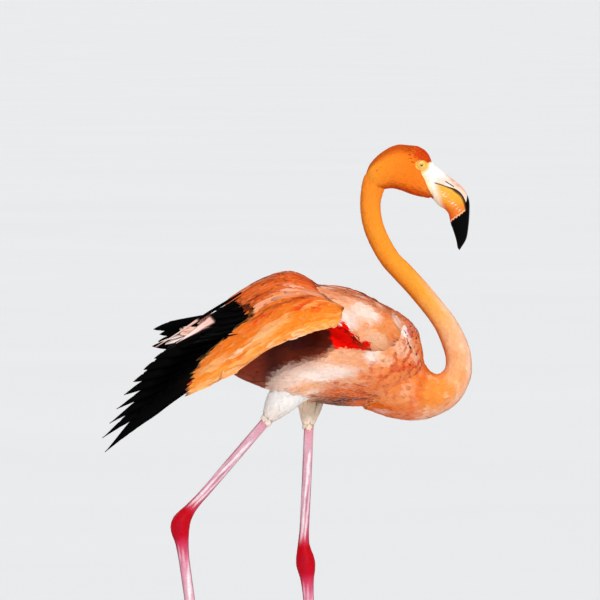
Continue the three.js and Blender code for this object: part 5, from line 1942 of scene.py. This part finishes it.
class BuildSkin(bpy.types.Operator):
    """One skin of head, neck, body, thighs, wings, bare legs and feet"""

    bl_idname = "flamingo.skin"
    bl_label = "Skin"

    def execute(self, context):
        build_skin()
        return {"FINISHED"}


class BuildHeadFeathers(bpy.types.Operator):
    """Short feathers of the head, up to the bare face"""

    bl_idname = "flamingo.head_feathers"
    bl_label = "Head feathers"

    def execute(self, context):
        feather_head()
        return {"FINISHED"}


class BuildNeckFeathers(bpy.types.Operator):
    """Feathers of the neck, longer towards its root"""

    bl_idname = "flamingo.neck_feathers"
    bl_label = "Neck feathers"

    def execute(self, context):
        feather_neck()
        return {"FINISHED"}


class BuildBodyFeathers(bpy.types.Operator):
    """Feathers of breast, back, flanks and belly"""

    bl_idname = "flamingo.body_feathers"
    bl_label = "Body feathers"

    def execute(self, context):
        feather_trunk()
        return {"FINISHED"}


class BuildThighFeathers(bpy.types.Operator):
    """White feathers of the thighs, down to their cuffs"""

    bl_idname = "flamingo.thigh_feathers"
    bl_label = "Thigh feathers"

    def execute(self, context):
        feather_thighs()
        return {"FINISHED"}


class BuildCoverts(bpy.types.Operator):
    """Coverts of the half-open and of the folded wing, and the feathers of the upper arm"""

    bl_idname = "flamingo.coverts"
    bl_label = "Coverts"

    def execute(self, context):
        feather_right_wing()
        feather_left_wing()
        feather_arm()
        return {"FINISHED"}


class BuildFlightFeathers(bpy.types.Operator):
    """Primaries and secondaries of both wings, and the tail"""

    bl_idname = "flamingo.flight_feathers"
    bl_label = "Flight feathers"

    def execute(self, context):
        feather_flight()
        return {"FINISHED"}


class BuildBill(bpy.types.Operator):
    """Upper and lower half of the bent bill"""

    bl_idname = "flamingo.bill"
    bl_label = "Bill"

    def execute(self, context):
        build_bill()
        return {"FINISHED"}


class BuildEyes(bpy.types.Operator):
    """Both eyeballs"""

    bl_idname = "flamingo.eyes"
    bl_label = "Eyes"

    def execute(self, context):
        build_eyes()
        return {"FINISHED"}


class BuildClaws(bpy.types.Operator):
    """Claws of both feet"""

    bl_idname = "flamingo.claws"
    bl_label = "Claws"

    def execute(self, context):
        build_claws()
        return {"FINISHED"}


class BuildStage(bpy.types.Operator):
    """Pale floor, soft lights and the camera"""

    bl_idname = "flamingo.stage"
    bl_label = "Stage"

    def execute(self, context):
        build_stage()
        return {"FINISHED"}


OPERATORS = (
    BuildSkin, BuildHeadFeathers, BuildNeckFeathers, BuildBodyFeathers, BuildThighFeathers, BuildCoverts,
    BuildFlightFeathers, BuildBill, BuildEyes, BuildClaws, BuildStage,
)


class FlamingoPanel(bpy.types.Panel):
    """The flamingo's pieces, and what may be changed on them"""

    bl_idname = "VIEW3D_PT_flamingo"
    bl_label = "Flamingo"
    bl_space_type = "VIEW_3D"
    bl_region_type = "UI"
    bl_category = "Flamingo"

    def draw(self, context):
        for name, group in GROUPS.items():
            box = self.layout.box()
            for value in group.__annotations__:
                box.prop(chosen(name), value)
        for operator in OPERATORS:
            self.layout.operator(operator.bl_idname)


def register():
    """Make the classes and the scene's settings known."""
    for kind in (*GROUPS.values(), *OPERATORS, FlamingoPanel):
        bpy.utils.register_class(kind)
    for name, group in GROUPS.items():
        setattr(bpy.types.Scene, f"flamingo_{name}", bpy.props.PointerProperty(type=group))


def unregister():
    """Forget them again."""
    for name in GROUPS:
        delattr(bpy.types.Scene, f"flamingo_{name}")
    for kind in reversed((*GROUPS.values(), *OPERATORS, FlamingoPanel)):
        bpy.utils.unregister_class(kind)


def main():
    """Build every piece in order."""
    register()
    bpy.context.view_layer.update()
    for operator in OPERATORS:
        getattr(bpy.ops.flamingo, operator.bl_idname.split(".")[1])()


if __name__ == "__main__":
    main()
